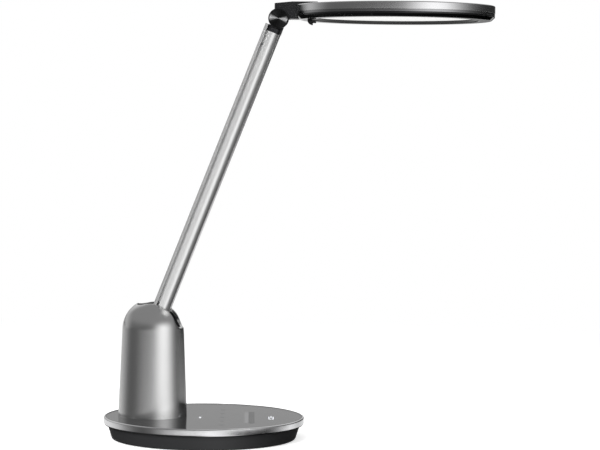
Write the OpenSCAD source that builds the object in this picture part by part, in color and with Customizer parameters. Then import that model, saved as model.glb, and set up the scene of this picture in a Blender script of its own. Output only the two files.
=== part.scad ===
// Desk lamp: round base, slotted pillar, leaning arm and a thin round panel head.
// Millimetres. Origin at the centre of the base's underside, +X towards the head, +Z up.

/* [Base] */
// Diameter over the rim band
base_d = 181; // [170:1:200]
// Height of the rim band
rim_h = 7.5; // [6:0.1:10]
// Wall of the rim band beside the top plate
rim_lip = 1.6; // [1.2:0.1:2.5]
// Wall of the rim band below the top plate
rim_wall = 5.5; // [5.2:0.1:5.8]
// Bevel on the rim band's edges
rim_bevel = 1.1; // [0.3:0.1:1.4]
// Thickness of the top plate
plate_t = 2; // [1.5:0.1:3]
// Depth of the top plate below the rim's edge
plate_recess = 0.4; // [0.1:0.1:0.8]
// Height of the tray below the rim band
tray_h = 12.2; // [11.5:0.1:16]
// How far the tray's top stands inside the rim
tray_inset = 3.3; // [3:0.1:4]
// How far the tray tapers in from top to bottom
tray_taper = 4.2; // [2:0.1:6]
// Wall of the tray
tray_wall = 2.5; // [2:0.1:3]
// Floor of the tray
tray_floor = 2.5; // [2:0.1:3]
// Bevel on the tray's bottom edge
tray_bevel = 1.2; // [0.3:0.1:1.5]
// Height of the tray's spigot inside the rim
spigot_h = 2.5; // [1.5:0.1:3]
// Thickness of the rubber pad
pad_t = 1.5; // [1:0.1:1.8]
// How far the pad stands out below the tray
pad_proud = 0.5; // [0.3:0.1:0.8]
// Gap between the pad and the tray screws
pad_gap = 2.8; // [1.5:0.1:6]
// Gap between the ballast disc and the screw posts
ballast_gap = 2.4; // [1.5:0.1:6]
// Thickness of the ballast disc
ballast_t = 8; // [6:0.1:8.5]
// Gap between the screw posts and the tray's wall
post_gap = 0.9; // [0.4:0.1:2]
// Thickness of the control board
board_t = 1.6; // [1:0.1:2]
// Length of the control board
board_l = 70; // [60:1:76]
// Width of the control board
board_w = 62; // [54:1:70]
// Gap between control board and top plate
board_gap = 2; // [1.6:0.1:2.2]
// Centre of the control board along X
board_x = 24; // [20:1:26]
// Width of one touch pad
touch_pad_w = 9; // [6:0.5:10]
// Spacing of the touch pads
touch_pitch = 22; // [18:0.5:23]
// Diameter of the lit dot
dot_d = 1.8; // [1:0.1:2.5]
// Bore of the power inlet
inlet_bore_d = 5.5; // [4.5:0.1:6]
// Outer size of the power inlet across
inlet_w = 9; // [8:0.1:10]
// Length of the power inlet
inlet_l = 12; // [9:0.1:13]

/* [Pillar] */
// Distance from the pillar's axis to the base's rear edge
pillar_edge_gap = 43.5; // [42:0.5:48]
// Radius of the pillar's foot
pillar_foot_r = 30.8; // [30:0.1:33]
// Radius of the dome
dome_r = 27.4; // [27:0.1:29]
// Height of the dome's centre
dome_z = 98; // [94:1:110]
// Height of the arm's pivot
pivot_z = 91.9; // [90:0.1:93]
// Wall of the pillar shell
shell_wall = 2.6; // [2:0.1:2.8]
// Clearance between the arm and each side of the slot
slot_side_gap = 0.8; // [0.5:0.1:1.3]
// Reach of the slot behind the pillar's axis
slot_back = 14; // [12:0.5:16]
// Height of the slot's front end above the dome's centre
slot_front_z = 3; // [2:0.5:6]
// Radius of the slot's rear corners
slot_corner = 9; // [6:0.5:11]
// Radius of the slot's lower front corners
slot_front_corner = 6; // [4:0.5:9]
// Wall of the slot liner
liner_wall = 1; // [0.8:0.1:1.1]
// How far the liner's opening stands back from the slot
liner_gap = 1; // [0.4:0.1:1.5]
// Wall of the pivot bracket's cheeks
cheek_t = 3; // [2.5:0.1:3.2]
// Radius of the cheeks round the pivot
cheek_r = 10; // [9:0.5:11]
// Thickness of the bracket's foot
bracket_foot_t = 5; // [4:0.1:7]
// Half spacing of the pillar screws
pillar_screw_half = 12.7; // [12:0.1:13.5]
// Diameter of the pivot bolt
pivot_d = 8; // [6:0.1:9]
// Radius of the pivot's washers
washer_r = 8.5; // [7:0.1:8.8]
// Thickness of one friction washer
washer_t = 1.2; // [0.8:0.1:1.4]

/* [Arm] */
// Distance from pivot to head hinge
arm_l = 308.4; // [220:0.1:360]
// Lean of the arm from upright
arm_lean = 21.48; // [5:0.01:35]
// Width of the arm across
arm_w = 24.4; // [22:0.1:25.4]
// Depth of the arm with its rear strip
arm_depth = 16; // [14:0.1:18]
// How far the arm's section stands back from the line of its pivots
arm_set = 2.1; // [1:0.1:2.4]
// Depth of the rear strip
strip_depth = 3; // [2:0.1:4]
// Width of the groove beside the rear strip
groove_w = 1.2; // [0.6:0.1:1.6]
// Depth of the groove beside the rear strip
groove_depth = 1.5; // [0.8:0.1:2]
// Radius of the arm's front corners
arm_corner = 5.2; // [3:0.1:6]
// Wall of the arm extrusion
arm_wall = 2; // [1.5:0.1:2.5]
// Radius of the hub on the pivot
hub_r = 16; // [14:0.5:18]
// Start of the extrusion from the pivot
profile_start = 18; // [17:0.5:20]
// Distance from the end of the extrusion to the head hinge
profile_gap = 13.5; // [12.5:0.1:18]
// Distance from the end of the rear strip to the head hinge
strip_gap = 7.8; // [7.4:0.1:13]
// Length of the tongues inside the extrusion
tongue_l = 26; // [20:1:40]
// Depth of the dark collar at the arm's top
collar_depth = 11.6; // [10:0.1:12.4]

/* [Hinge] */
// Width of the neck and the hinge fork
neck_w = 22; // [20:0.1:24]
// Width of the hinge tongue between the cheeks
hinge_tongue_w = 9.2; // [8:0.1:10]
// Radius of the fork's cheeks round the hinge
fork_r = 7; // [6.6:0.1:8.8]
// Radius of the hinge tongue's end
hinge_tongue_r = 5.8; // [5.2:0.1:6.2]
// Diameter of the hinge bolt
hinge_d = 5; // [4:0.1:6]
// Thickness of one hinge washer
hinge_washer_t = 0.6; // [0.4:0.1:0.8]
// Radius of the dark rings under the caps
cap_seat_r = 9.2; // [8.6:0.1:10]
// Radius of the dark ring on the far side
far_seat_r = 6.6; // [6:0.1:9.2]
// Thickness of the dark rings
cap_seat_t = 2; // [1.6:0.1:3]
// Radius of the spun caps
cap_r = 8.2; // [7.6:0.1:8.4]
// Radius of the spun cap on the far side
far_cap_r = 5.8; // [5.2:0.1:8.2]
// Thickness of the spun caps
cap_t = 1.6; // [1.2:0.1:2]

/* [Neck] */
// Height of the neck's top above the hinge
neck_top = 15.2; // [13.8:0.1:16]
// Depth of the neck's underside below the hinge
neck_bottom = 0.3; // [0.2:0.1:1]
// Distance from the hinge to the joint of fork and neck
fork_l = 12; // [11.5:0.1:13]
// Reach of the fork behind the hinge
fork_back = 4.1; // [2:0.1:5]
// Reach of the neck's tongue from the hinge
neck_reach = 36; // [32:0.5:40]
// Radius of the neck's upright corners
neck_corner = 3.5; // [2:0.1:4.5]
// How much the fork's top falls towards its back
fork_fall = 1.5; // [0.5:0.1:2]
// Number of grooves on the fork's sides
rib_count = 3; // [1:1:4]
// Height of the lowest groove above the hinge
rib_low = 9.2; // [8:0.1:9.4]
// Spacing of the grooves on the fork's sides
rib_pitch = 1.7; // [1.2:0.1:1.9]
// Depth of the grooves on the fork's sides
rib_depth = 0.3; // [0.2:0.05:0.5]
// Droop of the head below level
head_droop = 0; // [0:0.1:5]

/* [Head] */
// Diameter of the head
head_d = 177.4; // [150:0.5:200]
// Gap from the hinge to the head's edge
head_gap = 14.9; // [14.5:0.1:22]
// Depth of the head's underside below the hinge
head_drop = 1; // [0.8:0.1:2]
// Height of the silver housing's side
housing_h = 6.6; // [5:0.1:9]
// Wall of the housing's side
housing_wall = 2; // [1.5:0.1:2.5]
// Thickness of the housing's top
housing_top_t = 1.6; // [1.2:0.1:2]
// Bevel on the housing's top edge
housing_bevel = 1; // [0.4:0.1:1.4]
// Height of the trim ring
trim_h = 2.2; // [1:0.1:3]
// How far the trim ring stands back from the band
trim_inset = 0.3; // [0.1:0.1:0.8]
// Height of the black bezel
bezel_h = 4.3; // [4:0.1:5.5]
// Height of the bezel's bevel
bezel_bevel_h = 2.9; // [1.5:0.1:3.2]
// Width of the bezel's bevel
bezel_bevel_w = 3.1; // [1.5:0.1:4]
// Width of the bezel's flat underside
bezel_face_w = 11.2; // [9:0.1:14]
// Depth of the diffuser above the bezel's underside
diffuser_recess = 3; // [1.6:0.1:3.2]
// Width of the ledge that carries the diffuser
ledge_w = 2.2; // [1.5:0.1:3]
// Thickness of the diffuser
diffuser_t = 1.2; // [1:0.1:1.5]
// Thickness of the light guide
guide_t = 2.4; // [2:0.1:2.5]
// Thickness of the reflector sheet
reflector_t = 0.3; // [0.2:0.1:0.5]
// Thickness of the back plate
back_plate_t = 1; // [0.8:0.1:1.2]
// Thickness of the LED strip
led_strip_t = 0.8; // [0.5:0.1:1]
// Number of LEDs
led_count = 48; // [24:4:60]
// Length of one LED
led_l = 3; // [2:0.1:4]
// Number of screws in the back plate
back_screw_count = 6; // [4:1:8]
// Length of the bumper under the bezel
bumper_l = 7.9; // [6:0.1:10]
// Height of the bumper under the bezel
bumper_h = 4.3; // [3:0.1:5.5]
// Width of the bumper under the bezel
bumper_w = 8; // [5:0.5:12]

/* [Fits] */
// Gap between pieces that are seated in each other
seat_gap = 0.1; // [0.05:0.01:0.15]
// Radial gap of bolts in their bores
bore_gap = 0.05; // [0.03:0.01:0.09]
// Diameter of small screws
screw_d = 3; // [2.5:0.1:3.2]
// Diameter of small screw heads
screw_head_d = 5.4; // [5:0.1:5.6]
// Height of small screw heads
screw_head_h = 1.8; // [1.4:0.1:2]
// Diameter of the pillar screws
big_screw_d = 4; // [3.5:0.1:5]
// Diameter of the pillar screws' heads
big_head_d = 7; // [6:0.1:7.2]
// Height of the pillar screws' heads
big_head_h = 3; // [2:0.1:4]

/* [Hidden] */
$fn = 96;

// A cut runs this far past the faces that it opens
over = 1;

// Heights in the base
tray_z = pad_proud;
floor_z = tray_z + tray_floor;
rim_z = tray_z + tray_h;
rim_top_z = rim_z + rim_h;
plate_top_z = rim_top_z - plate_recess;
plate_z = plate_top_z - plate_t;
board_z = plate_z - board_gap - board_t;
ballast_top_z = floor_z + ballast_t;
spigot_r = base_d / 2 - rim_wall - seat_gap;
tray_top_r = base_d / 2 - tray_inset;
tray_bottom_r = tray_top_r - tray_taper;
plate_r = base_d / 2 - rim_lip - seat_gap;
boss_r = screw_head_d / 2 + 1.4;
tray_screw_r = tray_bottom_r - tray_wall - boss_r - post_gap;
pad_r = tray_screw_r - screw_head_d / 2 - pad_gap;
ballast_r = tray_screw_r - boss_r - ballast_gap;
screw_inset = 1.2;
tray_screw_tip_z = plate_z + plate_t - 0.6;
touch_count = 3;
board_screw_half = [board_l / 2 - 4, board_w / 2 - 4];
dot_x = -2;
inlet_h = inlet_w - 0.6;
inlet_back_t = 2;
inlet_z = (floor_z + rim_z) / 2;
inlet_x = tray_bottom_r + tray_taper * (inlet_z - inlet_h / 2 - tray_z) / tray_h;

// Pillar
pillar_offset = base_d / 2 - pillar_edge_gap;
foot_z = plate_top_z;
dome_rise = dome_z - foot_z;
taper = atan(pillar_foot_r / dome_rise) - asin(dome_r / norm([pillar_foot_r, dome_rise]));
tangent_r = dome_r * cos(taper);
tangent_z = dome_z + dome_r * sin(taper);
inner_r = dome_r - shell_wall;
slot_front_abs_z = dome_z + slot_front_z;
bracket_foot_r = pillar_foot_r - shell_wall / cos(taper) - bracket_foot_t * tan(taper) - seat_gap;
slot_w = arm_w + 2 * slot_side_gap;
cheek_inner_y = slot_w / 2 + liner_wall + 2.2;
cheek_outer_y = cheek_inner_y + cheek_t;
liner_r = inner_r - 0.2;
liner_y = cheek_inner_y - seat_gap;
pillar_screw_tip_z = foot_z + bracket_foot_t - 0.6;
hub_w = arm_w;
spring_t = (cheek_inner_y - hub_w / 2 - washer_t) - seat_gap * 2;
bolt_head_h = 2.6;
bolt_head_r = pivot_d / 2 + 1.8;

// Arm, in its own frame: +Z along the arm, +X to its front
arm_back = -arm_depth / 2 - arm_set;
arm_front = arm_depth / 2 - arm_set;
profile_back = arm_back + strip_depth;
profile_end = arm_l - profile_gap;
strip_end = arm_l - strip_gap;
cavity_w = arm_w - 2 * arm_wall;
cavity_back = profile_back + arm_wall;
cavity_front = arm_front - arm_wall;
tongue_w = cavity_w - 2 * seat_gap;
tongue_depth = cavity_front - cavity_back - 2 * seat_gap;
tongue_mid = (cavity_front + cavity_back) / 2;
tongue_end_r = arm_corner - arm_wall;
foot_tongue_end = profile_start + tongue_l;
end_tongue_start = profile_end - tongue_l;
cable_w = 8;
cable_t = 1.8;
arm_screw_z = [profile_start + tongue_l / 2, profile_end - tongue_l / 2];
arm_bore_l = arm_wall + tongue_depth - 1;

// Head hinge, in the head's frame: origin on the hinge, +X to the head
pocket_w = hinge_tongue_w + 2 * hinge_washer_t + 2 * seat_gap;
fork_pocket_l = fork_l - 2.2;
nut_r = hinge_d / 2 + 1.4;
nut_h = 2;
fork_side = neck_w / 2;
pocket_r = nut_r + seat_gap;
pocket_depth = nut_h + seat_gap;

// Head
head_r = head_d / 2;
head_x = head_gap + head_r;
bezel_top = -head_drop + bezel_h;
trim_top = bezel_top + trim_h;
head_top = trim_top + housing_h;
face_outer_r = head_r - bezel_bevel_w;
lip_r = face_outer_r - bezel_face_w;
diffuser_z = -head_drop + diffuser_recess;
diffuser_r = lip_r + ledge_w - seat_gap;
stack_r = diffuser_r;
guide_z = diffuser_z + diffuser_t + seat_gap;
reflector_z = guide_z + guide_t + seat_gap;
back_plate_z = reflector_z + reflector_t + seat_gap;
led_ring_r = stack_r + 2.6;
led_depth = 1.4;
back_plate_r = head_r - housing_wall - 1.2;
back_boss_r = screw_d / 2 + 0.9;
back_screw_r = back_plate_r - back_boss_r + 0.2;
neck_step = head_top + seat_gap;
neck_screw_x = [head_gap + 6.5, head_gap + 13];
neck_screw_y = neck_w / 2 - 5;
bumper_x = head_gap + 9.6;
bumper_step_l = 3;
bumper_step_h = bumper_h * 0.56;

// ---------------------------------------------------------------- places

// The pillar's axis on the floor
module at_pillar() {
  translate([-pillar_offset, 0, 0])
    children();
}

// The arm's frame: origin on the pivot, +Z along the arm
module at_arm() {
  translate([-pillar_offset, 0, pivot_z])
    rotate([0, arm_lean, 0])
      children();
}

// The head's frame: origin on the hinge, +X towards the head
module at_head() {
  translate([-pillar_offset + arm_l * sin(arm_lean), 0, pivot_z + arm_l * cos(arm_lean)])
    rotate([0, head_droop, 0])
      children();
}

// The panel's own axis in the head's frame
module at_panel() {
  at_head()
    translate([head_x, 0, 0])
      children();
}

// ---------------------------------------------------------------- shapes

module disc(r, z, h) {
  translate([0, 0, z])
    cylinder(r = r, h = h);
}

module ring(outer_r, inner_r, z, h) {
  difference() {
    disc(outer_r, z, h);
    disc(inner_r, z - over, h + 2 * over);
  }
}

module box(x, y, z) {
  translate([x[0], y[0], z[0]])
    cube([x[1] - x[0], y[1] - y[0], z[1] - z[0]]);
}

// A rod along Y between two places
module rod_y(r, y0, y1) {
  translate([0, y1, 0])
    rotate([90, 0, 0])
      cylinder(r = r, h = y1 - y0);
}

module ring_y(outer_r, inner_r, y0, y1) {
  difference() {
    rod_y(outer_r, y0, y1);
    rod_y(inner_r, y0 - over, y1 + over);
  }
}

// A screw that points up, its head's underside at z = 0
module screw_up(d, head_d, head_h, l) {
  disc(d / 2, 0, l);
  disc(head_d / 2, -head_h, head_h);
}

module hex_ring_y(across_r, bore_r, y0, y1) {
  difference() {
    translate([0, y1, 0])
      rotate([90, 0, 0])
        cylinder(r = across_r, h = y1 - y0, $fn = 6);
    rod_y(bore_r, y0 - over, y1 + over);
  }
}

// A rectangle with round corners, from x0 to x1 and centred on Y
module round_rect(x0, x1, w, r) {
  translate([x0 + r, -w / 2])
    square([x1 - x0 - 2 * r, w]);
  translate([x0, -w / 2 + r])
    square([x1 - x0, w - 2 * r]);
  for (x = [x0 + r, x1 - r], y = [-1, 1])
    translate([x, y * (w / 2 - r)])
      circle(r = r);
}

// ---------------------------------------------------------------- base

module tray_screw_places() {
  for (a = [45:90:315])
    rotate([0, 0, a])
      translate([tray_screw_r, 0, 0])
        children();
}

module board_screw_places() {
  for (x = [-1, 1], y = [-1, 1])
    translate([board_x + x * board_screw_half[0], y * board_screw_half[1], 0])
      children();
}

module pillar_screw_places() {
  at_pillar()
    for (x = [-1, 1], y = [-1, 1])
      translate([x * pillar_screw_half, y * pillar_screw_half, 0])
        children();
}

module anti_slip_pad() {
  color([0.09, 0.09, 0.10])
    disc(pad_r, 0, pad_t);
}

module tray_body() {
  cylinder(r1 = tray_bottom_r - tray_bevel, r2 = tray_bottom_r, h = tray_bevel);
  translate([0, 0, tray_bevel])
    cylinder(r1 = tray_bottom_r, r2 = tray_top_r, h = tray_h - tray_bevel);
}

module base_tray() {
  color([0.13, 0.13, 0.14])
    difference() {
      union() {
        translate([0, 0, tray_z])
          difference() {
            tray_body();
            translate([0, 0, tray_floor])
              cylinder(r1 = tray_bottom_r - tray_wall, r2 = tray_top_r - tray_wall, h = tray_h);
          }
        ring(spigot_r, spigot_r - tray_wall, rim_z - tray_wall, spigot_h + tray_wall);
        tray_screw_places()
          disc(boss_r, floor_z - over, plate_z - screw_inset - seat_gap - floor_z + over);
      }
      disc(pad_r + seat_gap, tray_z - over, pad_t - pad_proud + over);
      tray_screw_places() {
        disc(screw_d / 2 + bore_gap, 0, plate_z);
        disc(screw_head_d / 2 + seat_gap, 0, tray_z + screw_head_h + screw_inset);
      }
      inlet_hull(seat_gap);
    }
}

module base_rim() {
  r = base_d / 2;
  color([0.80, 0.80, 0.81])
    rotate_extrude()
      polygon([
        [r - rim_wall, rim_z],
        [r - rim_bevel, rim_z],
        [r, rim_z + rim_bevel],
        [r, rim_top_z - rim_bevel],
        [r - rim_bevel, rim_top_z],
        [r - rim_lip, rim_top_z],
        [r - rim_lip, plate_z],
        [r - rim_wall, plate_z]
      ]);
}

module base_plate() {
  color([0.56, 0.56, 0.57])
    difference() {
      union() {
        disc(plate_r, plate_z, plate_t);
        tray_screw_places()
          disc(boss_r, plate_z - screw_inset, screw_inset + plate_t / 2);
        board_screw_places()
          disc(screw_d, plate_z - board_gap, board_gap + plate_t / 2);
      }
      tray_screw_places()
        disc(screw_d / 2 + bore_gap, plate_z - 2 * screw_inset, tray_screw_tip_z - plate_z + 2 * screw_inset);
      board_screw_places()
        disc(screw_d / 2 - 0.5 + bore_gap, plate_z - board_gap - over, board_gap + over + plate_t / 2);
      pillar_screw_places()
        disc(big_screw_d / 2 + bore_gap, plate_z - over, plate_t + 2 * over);
      at_pillar()
        disc(pillar_screw_half / 2, plate_z - over, plate_t + 2 * over);
      translate([dot_x, 0, 0])
        disc(dot_d / 2 + bore_gap, plate_z - over, plate_t + 2 * over);
    }
}

module ballast_weight() {
  color([0.45, 0.46, 0.47])
    difference() {
      disc(ballast_r, floor_z, ballast_t);
      pillar_screw_places() {
        disc(big_screw_d / 2 + bore_gap, floor_z - over, ballast_t + 2 * over);
        disc(big_head_d / 2 + seat_gap, floor_z - over, big_head_h + over);
      }
      at_pillar()
        disc(pillar_screw_half / 2, floor_z - over, ballast_t + 2 * over);
    }
}

module ballast_spacers() {
  color([0.62, 0.62, 0.63])
    pillar_screw_places()
      ring(big_head_d / 2, big_screw_d / 2 + bore_gap, ballast_top_z, plate_z - ballast_top_z);
}

module base_screws() {
  seat_z = tray_z + screw_head_h + screw_inset;
  color([0.70, 0.70, 0.72])
    tray_screw_places()
      translate([0, 0, seat_z])
        screw_up(screw_d, screw_head_d, screw_head_h, tray_screw_tip_z - seat_z);
}

module control_board() {
  color([0.06, 0.30, 0.18])
    difference() {
      translate([board_x, 0, 0])
        box([-board_l / 2, board_l / 2], [-board_w / 2, board_w / 2], [board_z, board_z + board_t]);
      board_screw_places()
        disc(screw_d / 2 - 0.5 + bore_gap, board_z - over, board_t + 2 * over);
    }
}

// Driver parts: place along X and Y, length, width and height below the board
driver_parts = [
  [-18, -14, 9, 9, 2.2],
  [-18, 10, 12, 8, 2.4],
  [0, -16, 6, 6, 1.2],
  [4, 12, 10, 6, 1.8],
  [20, -8, 8, 5, 1.4],
  [20, 12, 5, 5, 1.6]
];

module board_components() {
  color([0.12, 0.12, 0.13])
    for (part = driver_parts)
      translate([board_x + part[0], part[1], board_z - part[4]])
        translate([-part[2] / 2, -part[3] / 2, 0])
          cube([part[2], part[3], part[4]]);
}

module touch_pads() {
  half = touch_pad_w / 2;
  color([0.75, 0.52, 0.20])
    for (i = [0:touch_count - 1])
      translate([board_x + 8, (i - (touch_count - 1) / 2) * touch_pitch, 0])
        box([-half, half], [-half, half], [board_z + board_t, plate_z]);
}

module board_screws() {
  color([0.70, 0.70, 0.72])
    board_screw_places()
      translate([0, 0, board_z])
        screw_up(screw_d - 1, screw_head_d - 1.2, screw_head_h - 0.6, board_t + board_gap);
}

module indicator_lens() {
  color([0.92, 0.94, 0.98])
    translate([dot_x, 0, 0])
      disc(dot_d / 2, board_z + board_t, plate_top_z - board_z - board_t);
}

// The inlet's block, grown by a gap for the hole that it sits in
module inlet_hull(gap) {
  w = inlet_w / 2 + gap;
  h = inlet_h / 2 + gap;
  box([-inlet_x - 2 * over * sign(gap), -inlet_x + inlet_l + gap], [-w, w], [inlet_z - h, inlet_z + h]);
}

module power_inlet() {
  color([0.08, 0.08, 0.09]) {
    difference() {
      inlet_hull(0);
      translate([-inlet_x - over, 0, inlet_z])
        rotate([0, 90, 0])
          cylinder(r = inlet_bore_d / 2, h = inlet_l - inlet_back_t + over);
    }
    translate([-inlet_x + inlet_back_t, 0, inlet_z])
      rotate([0, 90, 0])
        cylinder(r = inlet_bore_d / 6, h = inlet_l - 1.5 * inlet_back_t);
  }
}

// ---------------------------------------------------------------- pillar

// The bullet shape, drawn in by the wall it is given
module bullet(wall) {
  translate([0, 0, foot_z])
    cylinder(
      r1 = pillar_foot_r - wall / cos(taper),
      r2 = tangent_r - wall / cos(taper),
      h = tangent_z - foot_z
    );
  intersection() {
    translate([0, 0, dome_z])
      sphere(r = dome_r - wall);
    disc(dome_r, tangent_z - 3, 2 * dome_r);
  }
}

// The slot: round at the back seen from above, round below seen from the front
module slot_cut(gap) {
  w = slot_w + 2 * gap;
  intersection() {
    translate([0, 0, slot_front_abs_z - gap - over])
      linear_extrude(2 * dome_r)
        round_rect(-slot_back - gap, 2 * dome_r, w, slot_corner + gap);
    translate([-dome_r, 0, slot_front_abs_z - gap])
      rotate([0, -90, 180])
        linear_extrude(3 * dome_r)
          round_rect(0, 2 * dome_r, w, slot_front_corner + gap);
  }
}

module pillar_shell() {
  color([0.60, 0.60, 0.60])
    at_pillar()
      difference() {
        bullet(0);
        bullet(shell_wall);
        disc(pillar_foot_r - shell_wall / cos(taper), foot_z - over, over + seat_gap);
        slot_cut(0);
      }
}

module slot_liner() {
  color([0.07, 0.07, 0.08])
    at_pillar()
      difference() {
        liner_drum(0);
        liner_drum(liner_wall);
        slot_cut(liner_gap);
        translate([0, 0, pivot_z])
          rod_y(washer_r + 1, -liner_y - over, liner_y + over);
      }
}

// The inside of the dome between two flat sides, drawn in by a wall
module liner_drum(wall) {
  floor_at = pivot_z - hub_r - 1 - (wall > 0 ? over : 0);
  intersection() {
    union() {
      translate([0, 0, dome_z])
        sphere(r = liner_r - wall);
      disc(liner_r - wall, floor_at, dome_z - floor_at);
    }
    box([-liner_r, liner_r], [wall - liner_y, liner_y - wall], [floor_at, dome_z + liner_r]);
  }
}

module pivot_bracket() {
  color([0.42, 0.43, 0.44])
    at_pillar()
      difference() {
        union() {
          disc(bracket_foot_r, foot_z, bracket_foot_t);
          for (side = [-1, 1])
            translate([0, side * (cheek_inner_y + cheek_t / 2), 0])
              cheek();
        }
        for (x = [-1, 1], y = [-1, 1])
          translate([x * pillar_screw_half, y * pillar_screw_half, 0])
            disc(big_screw_d / 2 + bore_gap, foot_z - over, pillar_screw_tip_z - foot_z + over);
        disc(pillar_screw_half / 2, foot_z - over, bracket_foot_t + 2 * over);
        translate([0, 0, pivot_z])
          rod_y(pivot_d / 2 + bore_gap, -dome_r, dome_r);
      }
}

module cheek() {
  box([-cheek_r, cheek_r], [-cheek_t / 2, cheek_t / 2], [foot_z + bracket_foot_t / 2, pivot_z]);
  translate([0, 0, pivot_z])
    rod_y(cheek_r, -cheek_t / 2, cheek_t / 2);
}

module pillar_screws() {
  color([0.66, 0.66, 0.68])
    pillar_screw_places()
      translate([0, 0, floor_z + big_head_h])
        screw_up(big_screw_d, big_head_d, big_head_h, pillar_screw_tip_z - floor_z - big_head_h);
}

module at_pivot() {
  translate([-pillar_offset, 0, pivot_z])
    children();
}

module pivot_bolt() {
  color([0.66, 0.66, 0.68])
    at_pivot() {
      rod_y(pivot_d / 2, -cheek_outer_y - over, cheek_outer_y + bolt_head_h);
      rod_y(bolt_head_r, -cheek_outer_y - bolt_head_h, -cheek_outer_y);
    }
}

module pivot_nut() {
  color([0.72, 0.72, 0.73])
    at_pivot()
      hex_ring_y(bolt_head_r + 0.4, pivot_d / 2 + bore_gap, cheek_outer_y, cheek_outer_y + bolt_head_h);
}

module pivot_friction_washers() {
  y0 = hub_w / 2 + seat_gap;
  color([0.20, 0.17, 0.14])
    at_pivot()
      for (side = [-1, 1])
        rotate([0, 0, 90 - side * 90])
          ring_y(washer_r, pivot_d / 2 + bore_gap, y0, y0 + washer_t);
}

module pivot_disc_springs() {
  y0 = hub_w / 2 + seat_gap + washer_t;
  color([0.55, 0.56, 0.58])
    at_pivot()
      for (side = [-1, 1])
        rotate([0, 0, 90 - side * 90])
          ring_y(washer_r - 1, pivot_d / 2 + bore_gap, y0, y0 + spring_t);
}

// ---------------------------------------------------------------- arm

module arm_outline() {
  difference() {
    union() {
      round_rect(profile_back, arm_front, arm_w, arm_corner);
      translate([profile_back, -arm_w / 2])
        square([arm_corner, arm_w]);
    }
    for (side = [-1, 1])
      translate([profile_back - over, side * arm_w / 2 - groove_depth])
        square([groove_w + over, 2 * groove_depth]);
  }
}

module arm_profile() {
  color([0.77, 0.77, 0.77])
    at_arm()
      difference() {
        translate([0, 0, profile_start])
          linear_extrude(profile_end - profile_start)
            difference() {
              arm_outline();
              round_rect(cavity_back, cavity_front, cavity_w, tongue_end_r);
            }
        for (z = arm_screw_z)
          arm_screw_places(z)
            rotate([0, 90, 0])
              disc(screw_d / 2 + bore_gap, -over, arm_wall + 2 * over);
      }
}

// Screws pass through the wall behind the rear strip
module arm_screw_places(z) {
  for (side = [-1, 1])
    translate([profile_back, side * tongue_w / 4, z])
      children();
}

module arm_rear_strip() {
  w = arm_w - 0.6;
  color([0.66, 0.66, 0.66])
    at_arm()
      difference() {
        translate([0, 0, profile_start])
          linear_extrude(strip_end - profile_start)
            polygon([
              [arm_back, -w / 2 + strip_depth / 2],
              [arm_back + strip_depth / 2, -w / 2],
              [profile_back, -w / 2],
              [profile_back, w / 2],
              [arm_back + strip_depth / 2, w / 2],
              [arm_back, w / 2 - strip_depth / 2]
            ]);
        for (z = arm_screw_z)
          arm_screw_places(z)
            rotate([0, 90, 0])
              cylinder(r = screw_head_d / 2 + seat_gap, h = 2 * (screw_head_h + seat_gap), center = true);
      }
}

// The flat lead's block, grown by a gap for the channels that it lies in
module cable_block(gap, z0, z1) {
  t = cable_t / 2 + gap;
  w = cable_w / 2 + gap;
  translate([tongue_mid, 0, 0])
    box([-t, t], [-w, w], [z0, z1]);
}

module arm_cable() {
  color([0.85, 0.85, 0.83])
    at_arm()
      cable_block(0, foot_tongue_end - 8, end_tongue_start + 8);
}

module cable_channel(z0, z1) {
  cable_block(2 * seat_gap, z0, z1);
}

module arm_tongue(z0, z1) {
  translate([0, 0, z0])
    linear_extrude(z1 - z0)
      round_rect(cavity_back + seat_gap, cavity_front - seat_gap, tongue_w, tongue_end_r);
}

module arm_foot() {
  color([0.17, 0.17, 0.18])
    at_arm()
      difference() {
        union() {
          rod_y(hub_r, -hub_w / 2, hub_w / 2);
          arm_tongue(0, foot_tongue_end);
        }
        rod_y(pivot_d / 2 + bore_gap, -hub_w, hub_w);
        cable_channel(foot_tongue_end - 10, foot_tongue_end + over);
        arm_screw_bores(arm_screw_z[0]);
      }
}

// The tongue's own screw holes
module arm_screw_bores(z) {
  arm_screw_places(z)
    rotate([0, 90, 0])
      cylinder(r = screw_d / 2 + bore_gap, h = arm_bore_l);
}

module arm_screw_pair(z) {
  arm_screw_places(z)
    rotate([0, 90, 0])
      screw_up(screw_d, screw_head_d, screw_head_h, arm_bore_l - 0.4);
}

module arm_foot_screws() {
  color([0.70, 0.70, 0.72])
    at_arm()
      arm_screw_pair(arm_screw_z[0]);
}

module arm_end_fitting() {
  collar_front = arm_front - 0.3;
  collar_back = profile_back + groove_w / 2 + 0.2;
  collar_top = arm_l - cap_seat_r - 0.3;
  collar_x = max(collar_back, collar_front - collar_depth);
  tongue_y = hinge_tongue_w / 2;
  color([0.11, 0.11, 0.12])
    at_arm()
      difference() {
        union() {
          arm_tongue(end_tongue_start, profile_end + over);
          translate([0, 0, profile_end])
            linear_extrude(collar_top - profile_end)
              round_rect(collar_x, collar_front, arm_w - 1, arm_corner - 0.6);
          box([-hinge_tongue_r, hinge_tongue_r], [-tongue_y, tongue_y], [profile_end + over, arm_l]);
          translate([0, 0, arm_l])
            rod_y(hinge_tongue_r, -tongue_y, tongue_y);
        }
        box([-arm_depth, profile_back + 0.1], [-arm_w, arm_w], [profile_end - tongue_l, strip_end + 0.3]);
        translate([0, 0, arm_l])
          rod_y(hinge_d / 2 + bore_gap, -hinge_tongue_w, hinge_tongue_w);
        cable_channel(end_tongue_start - over, end_tongue_start + 10);
        arm_screw_bores(arm_screw_z[1]);
      }
}

module arm_end_screws() {
  color([0.70, 0.70, 0.72])
    at_arm()
      arm_screw_pair(arm_screw_z[1]);
}

// ---------------------------------------------------------------- head hinge

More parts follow.
